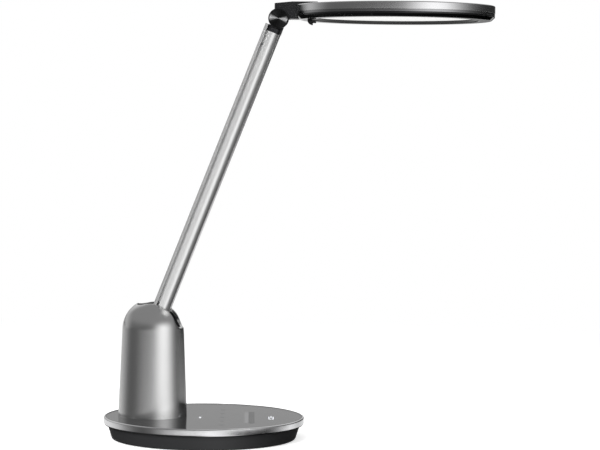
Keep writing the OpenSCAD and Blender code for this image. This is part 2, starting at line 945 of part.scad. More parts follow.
module hinge_bolt() {
  color([0.66, 0.66, 0.68])
    at_head() {
      rod_y(hinge_d / 2, -fork_side + pocket_depth - seat_gap, fork_side);
      rod_y(nut_r - 0.4, -fork_side, -fork_side + nut_h);
    }
}

module hinge_nut() {
  color([0.72, 0.72, 0.73])
    at_head()
      hex_ring_y(nut_r, hinge_d / 2 + bore_gap, fork_side - nut_h, fork_side);
}

module hinge_friction_washers() {
  y0 = hinge_tongue_w / 2 + seat_gap;
  color([0.20, 0.17, 0.14])
    at_head()
      for (side = [-1, 1])
        rotate([0, 0, 90 - side * 90])
          ring_y(hinge_tongue_r - 1, hinge_d / 2 + bore_gap, y0, y0 + hinge_washer_t);
}

// The fork's side outline, whose top falls towards its back
module fork_section() {
  rotate([90, 0, 0])
    translate([0, 0, -neck_w / 2])
      linear_extrude(neck_w)
        polygon([
          [-fork_back, 0],
          [fork_l, 0],
          [fork_l, neck_top],
          [-fork_back, neck_top - fork_fall]
        ]);
}

module hinge_fork() {
  color([0.09, 0.09, 0.10])
    at_head()
      difference() {
        union() {
          rod_y(fork_r, -neck_w / 2, neck_w / 2);
          intersection() {
            linear_extrude(neck_top)
              round_rect(-fork_back, fork_l + 2 * neck_corner, neck_w, neck_corner);
            fork_section();
          }
          box([0, fork_l], [-neck_w / 2, neck_w / 2], [-neck_bottom, over]);
        }
        box([-2 * fork_r, fork_pocket_l], [-pocket_w / 2, pocket_w / 2], [-2 * fork_r, hinge_tongue_r + 1]);
        rod_y(hinge_d / 2 + bore_gap, -neck_w, neck_w);
        for (side = [-1, 1])
          rotate([0, 0, 90 - side * 90])
            rod_y(pocket_r, neck_w / 2 - pocket_depth, neck_w);
        for (i = [0:rib_count - 1])
          fork_rib(rib_low + i * rib_pitch);
      }
}

// A shallow groove across the fork's two sides
module fork_rib(z) {
  for (side = [-1, 1])
    translate([1.5, side * neck_w / 2 - rib_depth, z])
      cube([fork_l - 4, 2 * rib_depth, rib_pitch * 0.4]);
}

module hinge_cap_seats() {
  color([0.07, 0.07, 0.08])
    at_head()
      for (side = [-1, 1])
        rotate([0, 0, 90 - side * 90])
          ring_y(side < 0 ? cap_seat_r : far_seat_r, 2, neck_w / 2, neck_w / 2 + cap_seat_t);
}

module hinge_caps() {
  color([0.75, 0.75, 0.76])
    at_head()
      for (side = [-1, 1])
        rotate([0, 0, 90 - side * 90])
          cap(side < 0 ? cap_r : far_cap_r);
}

// A spun cap with a dished face and a stem in its seat
module cap(r) {
  y0 = neck_w / 2 + cap_seat_t;
  rod_y(2 - seat_gap, neck_w / 2 + 0.2, y0 + 0.5);
  difference() {
    translate([0, y0, 0])
      rotate([-90, 0, 0])
        cylinder(r1 = r, r2 = r - 0.5, h = cap_t);
    translate([0, y0 + cap_t - 0.5, 0])
      rotate([-90, 0, 0])
        cylinder(r1 = 0.5, r2 = r - 1.2, h = 0.6);
  }
}

// ---------------------------------------------------------------- head

module neck_screw_places() {
  for (x = neck_screw_x, side = [-1, 1])
    translate([x, side * neck_screw_y, 0])
      children();
}

module neck_block() {
  color([0.08, 0.08, 0.09])
    at_head()
      difference() {
        intersection() {
          translate([0, 0, -neck_bottom])
            linear_extrude(neck_top + neck_bottom)
              round_rect(fork_l - neck_corner * 3, neck_reach, neck_w, neck_corner);
          box([fork_l, neck_reach + over], [-neck_w / 2, neck_w / 2], [-neck_bottom, neck_top]);
          neck_slope();
        }
        translate([head_x, 0, 0])
          disc(head_r + seat_gap, -2 * head_top, 2 * head_top + neck_step);
        neck_screw_places()
          disc(screw_d / 2 + bore_gap, neck_step - over, neck_top - neck_step - 0.8 + over);
      }
}

// The tongue thins towards its end
module neck_slope() {
  drop = neck_top - head_top - 1.6;
  rotate([90, 0, 0])
    translate([0, 0, -neck_w])
      linear_extrude(2 * neck_w)
        polygon([
          [0, -2 * neck_bottom],
          [neck_reach + over, -2 * neck_bottom],
          [neck_reach + over, neck_top - drop],
          [neck_reach - drop, neck_top],
          [0, neck_top]
        ]);
}

module neck_screws() {
  z0 = head_top - housing_top_t;
  color([0.70, 0.70, 0.72])
    at_head()
      neck_screw_places()
        translate([0, 0, z0])
          screw_up(screw_d, screw_head_d - 0.6, screw_head_h - 0.5, neck_top - z0 - 1.2);
}

module head_housing() {
  r = head_r;
  color([0.70, 0.70, 0.71])
    difference() {
      at_panel()
        rotate_extrude()
          polygon([
            [0, head_top - housing_top_t],
            [r - housing_wall - 1, head_top - housing_top_t],
            [r - housing_wall, head_top - housing_top_t - 1],
            [r - housing_wall, trim_top],
            [r, trim_top],
            [r, head_top - housing_bevel],
            [r - housing_bevel * 0.3, head_top - housing_bevel * 0.3],
            [r - housing_bevel, head_top],
            [0, head_top]
          ]);
      at_head()
        neck_screw_places()
          disc(screw_d / 2 + bore_gap, head_top - 2 * housing_top_t, 3 * housing_top_t);
    }
}

module head_trim_ring() {
  color([0.45, 0.45, 0.46])
    at_panel()
      ring(head_r - trim_inset, head_r - housing_wall, bezel_top, trim_h);
}

module back_screw_places() {
  for (i = [0:back_screw_count - 1])
    rotate([0, 0, (i + 0.5) * 360 / back_screw_count])
      translate([back_screw_r, 0, 0])
        children();
}

module head_bezel() {
  r = head_r - trim_inset;
  z0 = -head_drop;
  color([0.06, 0.06, 0.065])
    at_panel()
      difference() {
        union() {
          rotate_extrude()
            polygon([
              [lip_r, z0 + 0.3],
              [lip_r + 0.3, z0],
              [face_outer_r - trim_inset, z0],
              [r, z0 + bezel_bevel_h],
              [r, bezel_top],
              [r - housing_wall, bezel_top],
              [r - housing_wall, diffuser_z],
              [lip_r, diffuser_z]
            ]);
          back_screw_places()
            disc(back_boss_r, z0 + 1.2, back_plate_z - z0 - 1.2);
        }
        back_screw_places()
          disc(screw_d / 2 - 0.5 + bore_gap, diffuser_z - 0.4, back_plate_z - diffuser_z + over);
      }
}

module diffuser() {
  color([0.97, 0.97, 0.96])
    at_panel()
      disc(diffuser_r, diffuser_z, diffuser_t);
}

module light_guide() {
  color([0.90, 0.93, 0.95])
    at_panel()
      disc(stack_r, guide_z, guide_t);
}

module reflector_sheet() {
  color([0.98, 0.98, 0.98])
    at_panel()
      disc(stack_r, reflector_z, reflector_t);
}

module back_plate() {
  color([0.78, 0.79, 0.80])
    at_panel()
      difference() {
        disc(back_plate_r, back_plate_z, back_plate_t);
        back_screw_places()
          disc(screw_d / 2 - 0.5 + bore_gap, back_plate_z - over, back_plate_t + 2 * over);
      }
}

module led_strip() {
  color([0.93, 0.93, 0.90])
    at_panel()
      ring(led_ring_r + led_strip_t, led_ring_r, diffuser_z + 0.4, back_plate_z - diffuser_z - 0.4);
}

module led_chips() {
  radial = [led_ring_r - led_depth, led_ring_r - seat_gap / 2];
  color([0.98, 0.90, 0.55])
    at_panel()
      for (i = [0:led_count - 1])
        rotate([0, 0, i * 360 / led_count])
          box(radial, [-led_l / 2, led_l / 2], [guide_z + 0.3, guide_z + guide_t - 0.3]);
}

module back_plate_screws() {
  top = back_plate_z + back_plate_t;
  color([0.70, 0.70, 0.72])
    at_panel()
      back_screw_places()
        translate([0, 0, top])
          mirror([0, 0, 1])
            screw_up(screw_d - 1, screw_head_d - 1.4, screw_head_h - 0.8, top - diffuser_z);
}

// A quarter-round lug with a small step on the side of the panel's centre
module head_rest_bumper() {
  lug_l = bumper_l - bumper_step_l;
  color([0.05, 0.05, 0.055])
    at_head()
      translate([bumper_x, -bumper_w / 2, -head_drop]) {
        intersection() {
          box([0, lug_l], [0, bumper_w], [-bumper_h, 0]);
          translate([lug_l, bumper_w, 0])
            rotate([90, 0, 0])
              cylinder(r = bumper_h, h = bumper_w);
        }
        box([lug_l, bumper_l], [0, bumper_w], [-bumper_step_h, 0]);
      }
}

// ---------------------------------------------------------------- nodes

anti_slip_pad();
base_tray();
base_rim();
base_plate();
ballast_weight();
ballast_spacers();
base_screws();
control_board();
board_components();
touch_pads();
board_screws();
indicator_lens();
power_inlet();
pillar_shell();
slot_liner();
pivot_bracket();
pillar_screws();
pivot_bolt();
pivot_nut();
pivot_friction_washers();
pivot_disc_springs();
arm_foot();
arm_profile();
arm_rear_strip();
arm_cable();
arm_foot_screws();
arm_end_fitting();
arm_end_screws();
hinge_bolt();
hinge_nut();
hinge_friction_washers();
hinge_fork();
hinge_cap_seats();
hinge_caps();
neck_block();
neck_screws();
head_housing();
head_trim_ring();
head_bezel();
diffuser();
light_guide();
reflector_sheet();
back_plate();
led_strip();
led_chips();
back_plate_screws();
head_rest_bumper();
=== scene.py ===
"""Desk lamp with a thin round panel head, a slim arm, a slotted pillar and a round base.

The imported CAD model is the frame. The pieces that show are modelled here with bmesh
operators and stand for their CAD nodes. The hidden ones stay CAD nodes and get a finish.
Sizes are in millimetres and angles in degrees, except where a name or a comment says more.
"""

import logging
import math
from collections.abc import Callable, Iterable, Sequence
from dataclasses import dataclass, field
from enum import Enum

import bmesh
import bpy
from bmesh.types import BMEdge, BMesh, BMVert
from mathutils import Matrix, Quaternion, Vector


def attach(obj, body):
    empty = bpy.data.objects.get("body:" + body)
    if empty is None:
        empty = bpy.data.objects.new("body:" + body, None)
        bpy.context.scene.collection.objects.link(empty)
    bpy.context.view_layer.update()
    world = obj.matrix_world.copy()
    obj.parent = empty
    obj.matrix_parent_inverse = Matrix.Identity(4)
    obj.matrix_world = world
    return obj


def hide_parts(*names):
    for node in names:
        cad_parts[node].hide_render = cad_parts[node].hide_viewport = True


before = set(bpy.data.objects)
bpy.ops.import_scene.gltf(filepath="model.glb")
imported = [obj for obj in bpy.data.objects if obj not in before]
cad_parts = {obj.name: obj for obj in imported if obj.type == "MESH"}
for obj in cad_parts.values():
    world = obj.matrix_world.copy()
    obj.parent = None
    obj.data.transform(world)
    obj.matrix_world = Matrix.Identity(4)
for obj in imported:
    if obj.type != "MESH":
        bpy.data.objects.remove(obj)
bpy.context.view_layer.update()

log = logging.getLogger("lamp")

MM = 0.001
TURN = 2 * math.pi
DEGREES_PER_RADIAN = 180 / math.pi
# How near points are when they count as one, or as lying on a circle
MERGE_WITHIN = 1e-4
RING_WITHIN = 0.02
# The angles between faces up to which an area is flat, and past which an edge is a corner
FLAT_WITHIN = 0.4
CORNER_ABOVE = 40.0
IMAGE_WIDTH_PX = 600

Levels = tuple[tuple[float, float], ...]
Place = tuple[float, float, float]
Spot = tuple[float, float, float, float]


class Body(Enum):
    """The rigid bodies of the lamp."""

    BASE = "base"
    ARM = "arm"
    HEAD = "head"


class Keep(Enum):
    """What is left of two solids that meet."""

    FIRST_ONLY = "DIFFERENCE"
    SHARED = "INTERSECT"
    BOTH = "UNION"


class Seen(Enum):
    """The side that an outline is seen from."""

    FROM_ABOVE = "above"
    FROM_AHEAD = "ahead"


# ---------------- the lamp's own places


@dataclass(frozen=True)
class Stance:
    """Where the lamp's pieces stand at rest."""

    pillar_x: float = -47.0
    dome_z: float = 98.0
    pivot_z: float = 91.9
    arm_length: float = 308.4
    arm_lean: float = 21.48
    panel_x: float = 103.6

    def base(self) -> Matrix:
        """The base's own place: the row frame."""
        return Matrix.Identity(4)

    def pillar(self) -> Matrix:
        """The pillar's axis on the desk."""
        return Matrix.Translation((self.pillar_x, 0, 0))

    def arm(self) -> Matrix:
        """Origin on the arm's pivot, Z along the arm, X to its front."""
        place = Matrix.Translation((self.pillar_x, 0, self.pivot_z))
        return place @ Matrix.Rotation(math.radians(self.arm_lean), 4, "Y")

    def head(self) -> Matrix:
        """Origin on the head's hinge, X towards the panel."""
        lean = math.radians(self.arm_lean)
        hinge = Vector((math.sin(lean), 0, math.cos(lean))) * self.arm_length
        hinge += Vector((self.pillar_x, 0, self.pivot_z))
        return Matrix.Translation(hinge)

    def panel(self) -> Matrix:
        """The panel's own axis."""
        return self.head() @ Matrix.Translation((self.panel_x, 0, 0))


STANCE = Stance()


# ---------------- shader recipes


class Ink:
    """A socket that takes part in Python arithmetic, adding its Math nodes as it goes."""

    def __init__(self, recipe: "Recipe", socket: bpy.types.NodeSocket) -> None:
        """Wraps a socket of a recipe."""
        self.recipe = recipe
        self.socket = socket

    def _with(self, operation: str, *values: "Ink | float") -> "Ink":
        """This value and others through one Math node."""
        return self.recipe.math(operation, self, *values)

    def __add__(self, other: "Ink | float") -> "Ink":
        """Sum."""
        return self._with("ADD", other)

    def __radd__(self, other: float) -> "Ink":
        """Reflected sum."""
        return self._with("ADD", other)

    def __sub__(self, other: "Ink | float") -> "Ink":
        """Difference."""
        return self._with("SUBTRACT", other)

    def __rsub__(self, other: float) -> "Ink":
        """Reflected difference."""
        return self.recipe.math("SUBTRACT", other, self)

    def __mul__(self, other: "Ink | float") -> "Ink":
        """Product."""
        return self._with("MULTIPLY", other)

    def __rmul__(self, other: float) -> "Ink":
        """Reflected product."""
        return self._with("MULTIPLY", other)

    def __truediv__(self, other: "Ink | float") -> "Ink":
        """Quotient."""
        return self._with("DIVIDE", other)

    def sine(self) -> "Ink":
        """Sine of radians."""
        return self._with("SINE")

    def clipped(self) -> "Ink":
        """This value kept between 0 and 1."""
        return self.recipe.math("MAXIMUM", self.recipe.math("MINIMUM", self, 1.0), 0.0)


class Recipe:
    """A node tree that is written as expressions."""

    def __init__(self, tree: bpy.types.NodeTree) -> None:
        """Starts from an empty node tree."""
        self.tree = tree
        tree.nodes.clear()

    def node(
        self, kind: str, settings: dict[str, object] | None = None, **inputs: object
    ) -> bpy.types.Node:
        """Makes any node.

        Args:
            kind: the node's type, such as "ShaderNodeTexNoise".
            settings: properties set first; "stops" fills a colour ramp.
            inputs: values or links by socket name, with _ for a space; in0 is the first.

        Returns:
            The node.
        """
        made = self.tree.nodes.new(kind)
        for name, value in (settings or {}).items():
            if name == "stops":
                self._fill_ramp(made.color_ramp, value)
            else:
                setattr(made, name, value)
        for name, value in inputs.items():
            by_number = name[:2] == "in" and name[2:].isdigit()
            place = int(name[2:]) if by_number else name.replace("_", " ")
            self.feed(made.inputs[place], value)
        return made

    @staticmethod
    def _fill_ramp(ramp: bpy.types.ColorRamp, stops: Sequence[tuple[float, float]]) -> None:
        """Sets a new ramp's stops.

        Args:
            ramp: the ramp, with the two stops that it is made with.
            stops: (place, grey level), in order.
        """
        while len(ramp.elements) < len(stops):
            ramp.elements.new(0.5)
        for element, (place, level) in zip(ramp.elements, stops):
            element.position = place
            element.color = (level, level, level, 1.0)

    def feed(self, socket: bpy.types.NodeSocket, value: object) -> None:
        """Links or sets one input.

        Args:
            socket: the input.
            value: an Ink or a socket, which is linked, or a number, a vector or a colour.
        """
        if isinstance(value, Ink):
            value = value.socket
        if isinstance(value, bpy.types.NodeSocket):
            self.tree.links.new(value, socket)
        elif socket.type == "RGBA" and len(value) == 3:
            socket.default_value = (*value, 1.0)
        else:
            socket.default_value = value

    def math(self, operation: str, *values: "Ink | float") -> Ink:
        """One Math node on numbers.

        Args:
            operation: what the node does.
            values: its inputs, in order.

        Returns:
            The result.
        """
        made = self.node("ShaderNodeMath", {"operation": operation})
        for socket, value in zip(made.inputs, values):
            self.feed(socket, value)
        return Ink(self, made.outputs[0])

    def vector(self, operation: str, *values: object) -> bpy.types.Node:
        """One Vector Math node; its first output is a vector and "Value" a number."""
        inputs = {f"in{number}": value for number, value in enumerate(values)}
        return self.node("ShaderNodeVectorMath", {"operation": operation}, **inputs)

    def place(self) -> bpy.types.NodeSocket:
        """Object coordinates, in metres."""
        return self.node("ShaderNodeTexCoord").outputs["Object"]

    def noise(self, per_mm: float, detail: float = 2.0, stretch: Place = (1, 1, 1)) -> Ink:
        """Noise in object space.

        Args:
            per_mm: how many cells there are in a millimetre.
            detail: octaves.
            stretch: how much denser it is along each axis.

        Returns:
            Its value, around 0.5.
        """
        scale = tuple(per_mm / MM * share for share in stretch)
        place = self.node("ShaderNodeMapping", Vector=self.place(), Scale=scale)
        made = self.node(
            "ShaderNodeTexNoise", Vector=place.outputs[0], Scale=1.0, Detail=detail, Roughness=0.55
        )
        return Ink(self, made.outputs["Fac"])

    def radius(self, matrix: Matrix) -> Ink:
        """Distance from a place's own Z axis.

        Args:
            matrix: the place.

        Returns:
            The distance in millimetres.
        """
        axis = (matrix.to_3x3() @ Vector((0, 0, 1))).normalized()
        away = self.vector("SUBTRACT", self.place(), tuple(matrix.translation * MM))
        across = self.vector("CROSS_PRODUCT", away.outputs[0], tuple(axis))
        return Ink(self, self.vector("LENGTH", across.outputs[0]).outputs["Value"]) * (1 / MM)

    def ease(self, value: Ink, low: float, high: float, start: float = 0.0, end: float = 1.0) -> Ink:
        """A smooth way from a start to an end as a value goes from low to high."""
        made = self.node(
            "ShaderNodeMapRange", {"interpolation_type": "SMOOTHSTEP"}, Value=value, From_Min=low,
            From_Max=high, To_Min=start, To_Max=end,
        )
        return Ink(self, made.outputs[0])

    def tint(self, dark: Sequence[float], light: object, amount: Ink) -> bpy.types.NodeSocket:
        """A colour between two, which are the node's inputs 6 and 7, by an amount."""
        made = self.node("ShaderNodeMix", {"data_type": "RGBA"}, in0=amount, in6=dark, in7=light)
        return made.outputs[2]

    def either(self, amount: object, first: bpy.types.Node, second: bpy.types.Node) -> bpy.types.Node:
        """Two shaders mixed: the first where the amount is 0, the second where it is 1."""
        return self.node("ShaderNodeMixShader", in0=amount, in1=first.outputs[0], in2=second.outputs[0])

    def bump(self, height: Ink, depth_mm: float) -> bpy.types.NodeSocket:
        """A normal from a height between 0 and 1."""
        made = self.node("ShaderNodeBump", Height=height, Distance=depth_mm * MM, Strength=1.0)
        return made.outputs["Normal"]


def shade(color: Sequence[float], factor: float) -> tuple[float, ...]:
    """A colour made darker or lighter."""
    return tuple(min(1.0, part * factor) for part in color)


@dataclass(frozen=True)
class Finish:
    """A procedural finish. Its constants go straight on the shader's sockets.

    The mottle is how far the colour goes up and down, rough_vary the same for the roughness,
    and unlit the share of the colour left outside a painted highlight, which is painted shade.
    """

    slot: str
    color: tuple[float, float, float]
    metallic: float = 0.0
    roughness: float = 0.5
    ior: float = 1.5
    cells_per_mm: float = 3.0
    patches_per_mm: float = 0.05
    mottle: float = 0.06
    rough_vary: float = 0.08
    depth_mm: float = 0.004
    emission: float = 0.0
    painted_shade_share: float = 0.04

    def height(self, recipe: Recipe) -> Ink:
        """The relief of the surface, between 0 and 1."""
        return recipe.noise(self.cells_per_mm, detail=3.0)

    def patches(self, recipe: Recipe) -> Ink:
        """The slow variation of colour over the surface."""
        return recipe.noise(self.patches_per_mm)

    def shine(self, recipe: Recipe) -> Ink | None:
        """Where a painted highlight keeps the colour full, if it isn't everywhere."""
        return None

    def make(self) -> bpy.types.Material:
        """Builds the material.

        Returns:
            The material, named for its slot.
        """
        material = bpy.data.materials.new(self.slot)
        material.use_nodes = True
        recipe = Recipe(material.node_tree)
        relief = self.height(recipe)
        patches = self.patches(recipe)
        dark, light = shade(self.color, 1 - self.mottle), shade(self.color, 1 + self.mottle)
        color = recipe.tint(dark, light, (relief * 0.5 + patches * 0.5).clipped())
        # A painted highlight: the full colour inside it, painted shade outside it.
        shine = self.shine(recipe)
        if shine:
            color = recipe.tint(shade(self.color, self.painted_shade_share), color, shine)
        rough = self.roughness + (relief - 0.5) * self.rough_vary
        surface = recipe.node(
            "ShaderNodeBsdfPrincipled",
            Base_Color=color,
            Metallic=self.metallic,
            Roughness=(rough + (patches - 0.5) * self.rough_vary).clipped(),
            IOR=self.ior,
            Normal=recipe.bump(relief, self.depth_mm),
        )
        if self.emission:
            recipe.feed(surface.inputs["Emission Color"], self.color)
            recipe.feed(surface.inputs["Emission Strength"], self.emission)
        recipe.node("ShaderNodeOutputMaterial", Surface=surface.outputs[0])
        return material


@dataclass(frozen=True)
class TurnedFinish(Finish):
    """Metal turned on a lathe: fine rings round an axis."""

    axis: Matrix = field(default_factory=STANCE.base, hash=False)
    rings_per_mm: float = 3.0
    wobble_per_mm: float = 0.6
    wobble_radians: float = 2.0

    def height(self, recipe: Recipe) -> Ink:
        """Rings, a little uneven."""
        wobble = recipe.noise(self.wobble_per_mm) * self.wobble_radians
        return (recipe.radius(self.axis) * (TURN * self.rings_per_mm) + wobble).sine() * 0.5 + 0.5


@dataclass(frozen=True)
class SpunPaintedHighlightFinish(TurnedFinish):
    """Metal with V-shaped grooves, and the two bright wedges of a spun face painted into its colour
    as a painted highlight, with painted shade outside them. The wedge is a slope from the level
    line, which the tilt leans: the painted highlight is full up to wedge_full of it and gone at
    wedge_gone of it. Over the middle's radius the wedges meet.
    """

    wedge: float = 0.24
    wedge_full: float = 0.3
    wedge_gone: float = 1.9
    middle: float = 0.15
    tilt: float = 0.15

    def height(self, recipe: Recipe) -> Ink:
        """V-shaped rings."""
        return recipe.math("PINGPONG", recipe.radius(self.axis) * self.rings_per_mm, 0.5) * 2.0

    def shine(self, recipe: Recipe) -> Ink:
        """The painted highlight's wedges: full near the level line through the axis, none above and below
        it.

        Args:
            recipe: the material's recipe.

        Returns:
            The share of the full colour.
        """
        away = recipe.vector("SUBTRACT", recipe.place(), tuple(self.axis.translation * MM))
        upwards = tuple(Vector((self.tilt, 0, 1)) / MM)
        part = recipe.vector("DOT_PRODUCT", away.outputs[0], upwards).outputs["Value"]
        slope = recipe.math("ABSOLUTE", Ink(recipe, part)) / (recipe.radius(self.axis) + self.middle)
        return recipe.ease(slope, self.wedge * self.wedge_full, self.wedge * self.wedge_gone, 1.0, 0.0)


@dataclass(frozen=True)
class DrawnFinish(Finish):
    """Metal or film with a fine grain along one axis."""

    stretch: Place = (1.0, 1.0, 0.15)

    def height(self, recipe: Recipe) -> Ink:
        """Long scratches."""
        return recipe.noise(self.cells_per_mm, stretch=self.stretch)


# ---------------- shapes


def sheet_of(points: Iterable[Sequence[float]], closed: bool = True) -> BMesh:
    """A bmesh that holds a line of vertices with its edges.

    Args:
        points: places in millimetres.
        closed: whether the last is joined to the first.

    Returns:
        The bmesh.
    """
    bm = bmesh.new()
    verts = [bm.verts.new(p) for p in points]
    pairs = list(zip(verts, verts[1:])) + ([(verts[-1], verts[0])] if closed else [])
    for pair in pairs:
        bm.edges.new(pair)
    return bm


def lathe(profile: Sequence[tuple[float, float]], closed: bool = True, steps: int = 180) -> BMesh:
    """Turns a profile round Z.

    Args:
        profile: (radius, height) in millimetres.
        closed: whether the profile is a loop, as a ring's is.
        steps: faces round the turn.

    Returns:
        The turned bmesh, with its poles merged and its faces outwards.
    """
    bm = sheet_of([(r, 0, z) for r, z in profile], closed)
    turn(bm, steps)
    return bm


def turn(bm: BMesh, steps: int) -> None:
    """Spins all of a bmesh once round Z and closes it."""
    bmesh.ops.spin(
        bm, geom=bm.verts[:] + bm.edges[:], cent=(0, 0, 0), axis=(0, 0, 1), dvec=(0, 0, 0),
        angle=TURN, steps=steps, use_merge=True, use_duplicate=False,
    )
    tidy_mesh(bm)


def tidy_mesh(bm: BMesh) -> None:
    """Merges doubles and turns the faces outwards."""
    bmesh.ops.remove_doubles(bm, verts=bm.verts, dist=MERGE_WITHIN)
    bmesh.ops.recalc_face_normals(bm, faces=bm.faces)


def soften(bm: BMesh, width: float, pick: Callable[[BMEdge], bool], segments: int = 3) -> None:
    """Rounds edges.

    Args:
        bm: the bmesh.
        width: how far the rounding reaches on each side.
        pick: the test for the edges.
        segments: faces across the rounding.
    """
    edges = [e for e in bm.edges if pick(e)]
    if edges:
        bmesh.ops.bevel(
            bm, geom=edges, offset=width, offset_type="OFFSET", affect="EDGES", segments=segments,
            profile=0.5, material=-1, clamp_overlap=True,
        )


def on_ring(radius: float, z: float) -> Callable[[BMEdge], bool]:
    """A test for the edges of one circle round Z.

    Args:
        radius: the circle's radius.
        z: its height.

    Returns:
        The test.
    """
    def pick(edge: BMEdge) -> bool:
        """Whether both ends are on the circle."""
        return all(
            abs(math.hypot(v.co.x, v.co.y) - radius) < RING_WITHIN and abs(v.co.z - z) < RING_WITHIN
            for v in edge.verts
        )
    return pick


def sharper_than(degrees: float) -> Callable[[BMEdge], bool]:
    """A test for convex and concave edges sharper than an angle."""
    limit = math.radians(degrees)
    return lambda edge: len(edge.link_faces) == 2 and edge.calc_face_angle(0.0) > limit


def slab(outline: Sequence[Sequence[float]], depth: Sequence[float], rounds: dict[int, float]) -> BMesh:
    """A flat outline with rounded corners, pushed out.

    Args:
        outline: corners in millimetres, in one plane.
        depth: the push, in millimetres.
        rounds: radius by corner number.

    Returns:
        The closed bmesh.
    """
    bm = sheet_of(outline)
    bm.verts.ensure_lookup_table()
    corners = {number: bm.verts[number] for number in rounds}
    bmesh.ops.contextual_create(bm, geom=bm.verts[:] + bm.edges[:])
    for number, corner in corners.items():
        bmesh.ops.bevel(
            bm, geom=[corner], offset=rounds[number], offset_type="OFFSET", affect="VERTICES",
            segments=10, profile=0.5, material=-1, clamp_overlap=True,
        )
    pushed = bmesh.ops.extrude_face_region(bm, geom=bm.faces[:])
    moved = [v for v in pushed["geom"] if isinstance(v, BMVert)]
    bmesh.ops.translate(bm, verts=moved, vec=Vector(depth))
    tidy_mesh(bm)
    return bm


def block(low: Sequence[float], high: Sequence[float]) -> BMesh:
    """A box.

    Args:
        low: its lowest corner.
        high: its highest corner.

    Returns:
        The closed bmesh.
    """
    bm = bmesh.new()
    bmesh.ops.create_cube(bm, size=1.0)
    bmesh.ops.scale(bm, verts=bm.verts, vec=Vector(high) - Vector(low))
    bmesh.ops.translate(bm, verts=bm.verts, vec=(Vector(low) + Vector(high)) / 2)
    return bm


def copy_of(node: str, place: Matrix) -> BMesh:
    """A merged copy of a CAD node's mesh, in millimetres in a piece's own place.

    Args:
        node: the CAD node.
        place: the place whose axes the copy is put in.

    Returns:
        The bmesh, with flat areas joined into one face each.
    """
    bm = bmesh.new()
    bm.from_mesh(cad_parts[node].data)
    bmesh.ops.scale(bm, verts=bm.verts, vec=Vector((1, 1, 1)) / MM)
    bmesh.ops.transform(bm, matrix=place.inverted(), verts=bm.verts)
    tidy_mesh(bm)
    bmesh.ops.dissolve_limit(
        bm, angle_limit=math.radians(FLAT_WITHIN), use_dissolve_boundaries=False, verts=bm.verts,
        edges=bm.edges, delimit={"NORMAL"},
    )
    return bm


def to_mesh(bm: BMesh, name: str) -> bpy.types.Mesh:
    """Writes a bmesh to a new mesh.

    Args:
        bm: the bmesh; freed.
        name: the mesh's name.

    Returns:
        The mesh.
    """
    mesh = bpy.data.meshes.new(name)
    bm.to_mesh(mesh)
    bm.free()
    return mesh


def in_scene(name: str, data: bpy.types.ID) -> bpy.types.Object:
    """Makes an object and puts it into the scene.

    Args:
        name: its name.
        data: its mesh, light or camera.

    Returns:
        The object.
    """
    obj = bpy.data.objects.new(name, data)
    bpy.context.scene.collection.objects.link(obj)
    return obj


def cut(solid: BMesh, tool: BMesh, keep: Keep = Keep.FIRST_ONLY) -> BMesh:
    """Cuts one closed bmesh with another.

    Args:
        solid: what is cut; freed.
        tool: the cutter; freed.
        keep: what is left of the two.

    Returns:
        The result.
    """
    pair = [in_scene(name, to_mesh(bm, name)) for name, bm in (("solid", solid), ("tool", tool))]
    modifier = pair[0].modifiers.new("cut", "BOOLEAN")
    modifier.operation = keep.value
    modifier.solver = "EXACT"
    modifier.object = pair[1]
    evaluated = pair[0].evaluated_get(bpy.context.evaluated_depsgraph_get())
    result = bmesh.new()
    result.from_mesh(evaluated.to_mesh())
    evaluated.to_mesh_clear()
    for obj in pair:
        bpy.data.meshes.remove(obj.data)
    bmesh.ops.remove_doubles(result, verts=result.verts, dist=MERGE_WITHIN)
    return result


# ---------------- pieces


@dataclass
class Workshop:
    """Keeps the finishes and turns bmeshes into pieces of the lamp."""

    crease: float = 30.0
    finishes: dict[Finish, bpy.types.Material] = field(default_factory=dict)

    def finish(self, finish: Finish) -> bpy.types.Material:
        """The material of a finish, made once.

        Args:
            finish: the finish.

        Returns:
            Its material.
        """
        if finish not in self.finishes:
            self.finishes[finish] = finish.make()
        return self.finishes[finish]

    def piece(
        self, name: str, bm: BMesh, place: Matrix, body: Body, finish: Finish, nodes: Sequence[str]
    ) -> None:
        """Finishes a bmesh as a piece, at the origin, with its place in its mesh.

        Args:
            name: the piece's name.
            bm: its shape, in millimetres in its own place; freed.
            place: where its own place is, in millimetres.
            body: the body it rides on.
            finish: its finish.
            nodes: the CAD nodes it stands for, if any.
        """
        bmesh.ops.transform(bm, matrix=Matrix.Scale(MM, 4) @ place, verts=bm.verts)
        crisp = sharper_than(self.crease)
        for face in bm.faces:
            face.smooth = True
        for edge in bm.edges:
            edge.smooth = not crisp(edge)
        obj = in_scene(name, to_mesh(bm, name))
        even = obj.modifiers.new("even_shading", "WEIGHTED_NORMAL")
        even.keep_sharp = True
        obj.data.materials.append(self.finish(finish))
        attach(obj, body.value)
        if nodes:
            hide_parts(*nodes)
        log.info("%s: %d faces on %s", name, len(obj.data.polygons), body.value)

    def dress(self, nodes: Iterable[str], finish: Finish) -> None:
        """Gives CAD nodes that stay a finish.

        Args:
            nodes: the CAD nodes.
            finish: the finish.
        """
        for node in nodes:
            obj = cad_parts[node]
            obj.data.materials.clear()
            obj.data.materials.append(self.finish(finish))
            log.info("%s: CAD node, %s", node, finish.slot)


@dataclass
class SubAssembly:
    """Pieces that ride on one body, and the workshop that finishes them."""

    shop: Workshop
    body: Body

    def add(self, name: str, bm: BMesh, place: Matrix, finish: Finish, *nodes: str) -> None:
        """Makes a bmesh a piece that stands for CAD nodes, if any."""
        self.shop.piece(name, bm, place, self.body, finish, nodes)


# ---------------- finishes

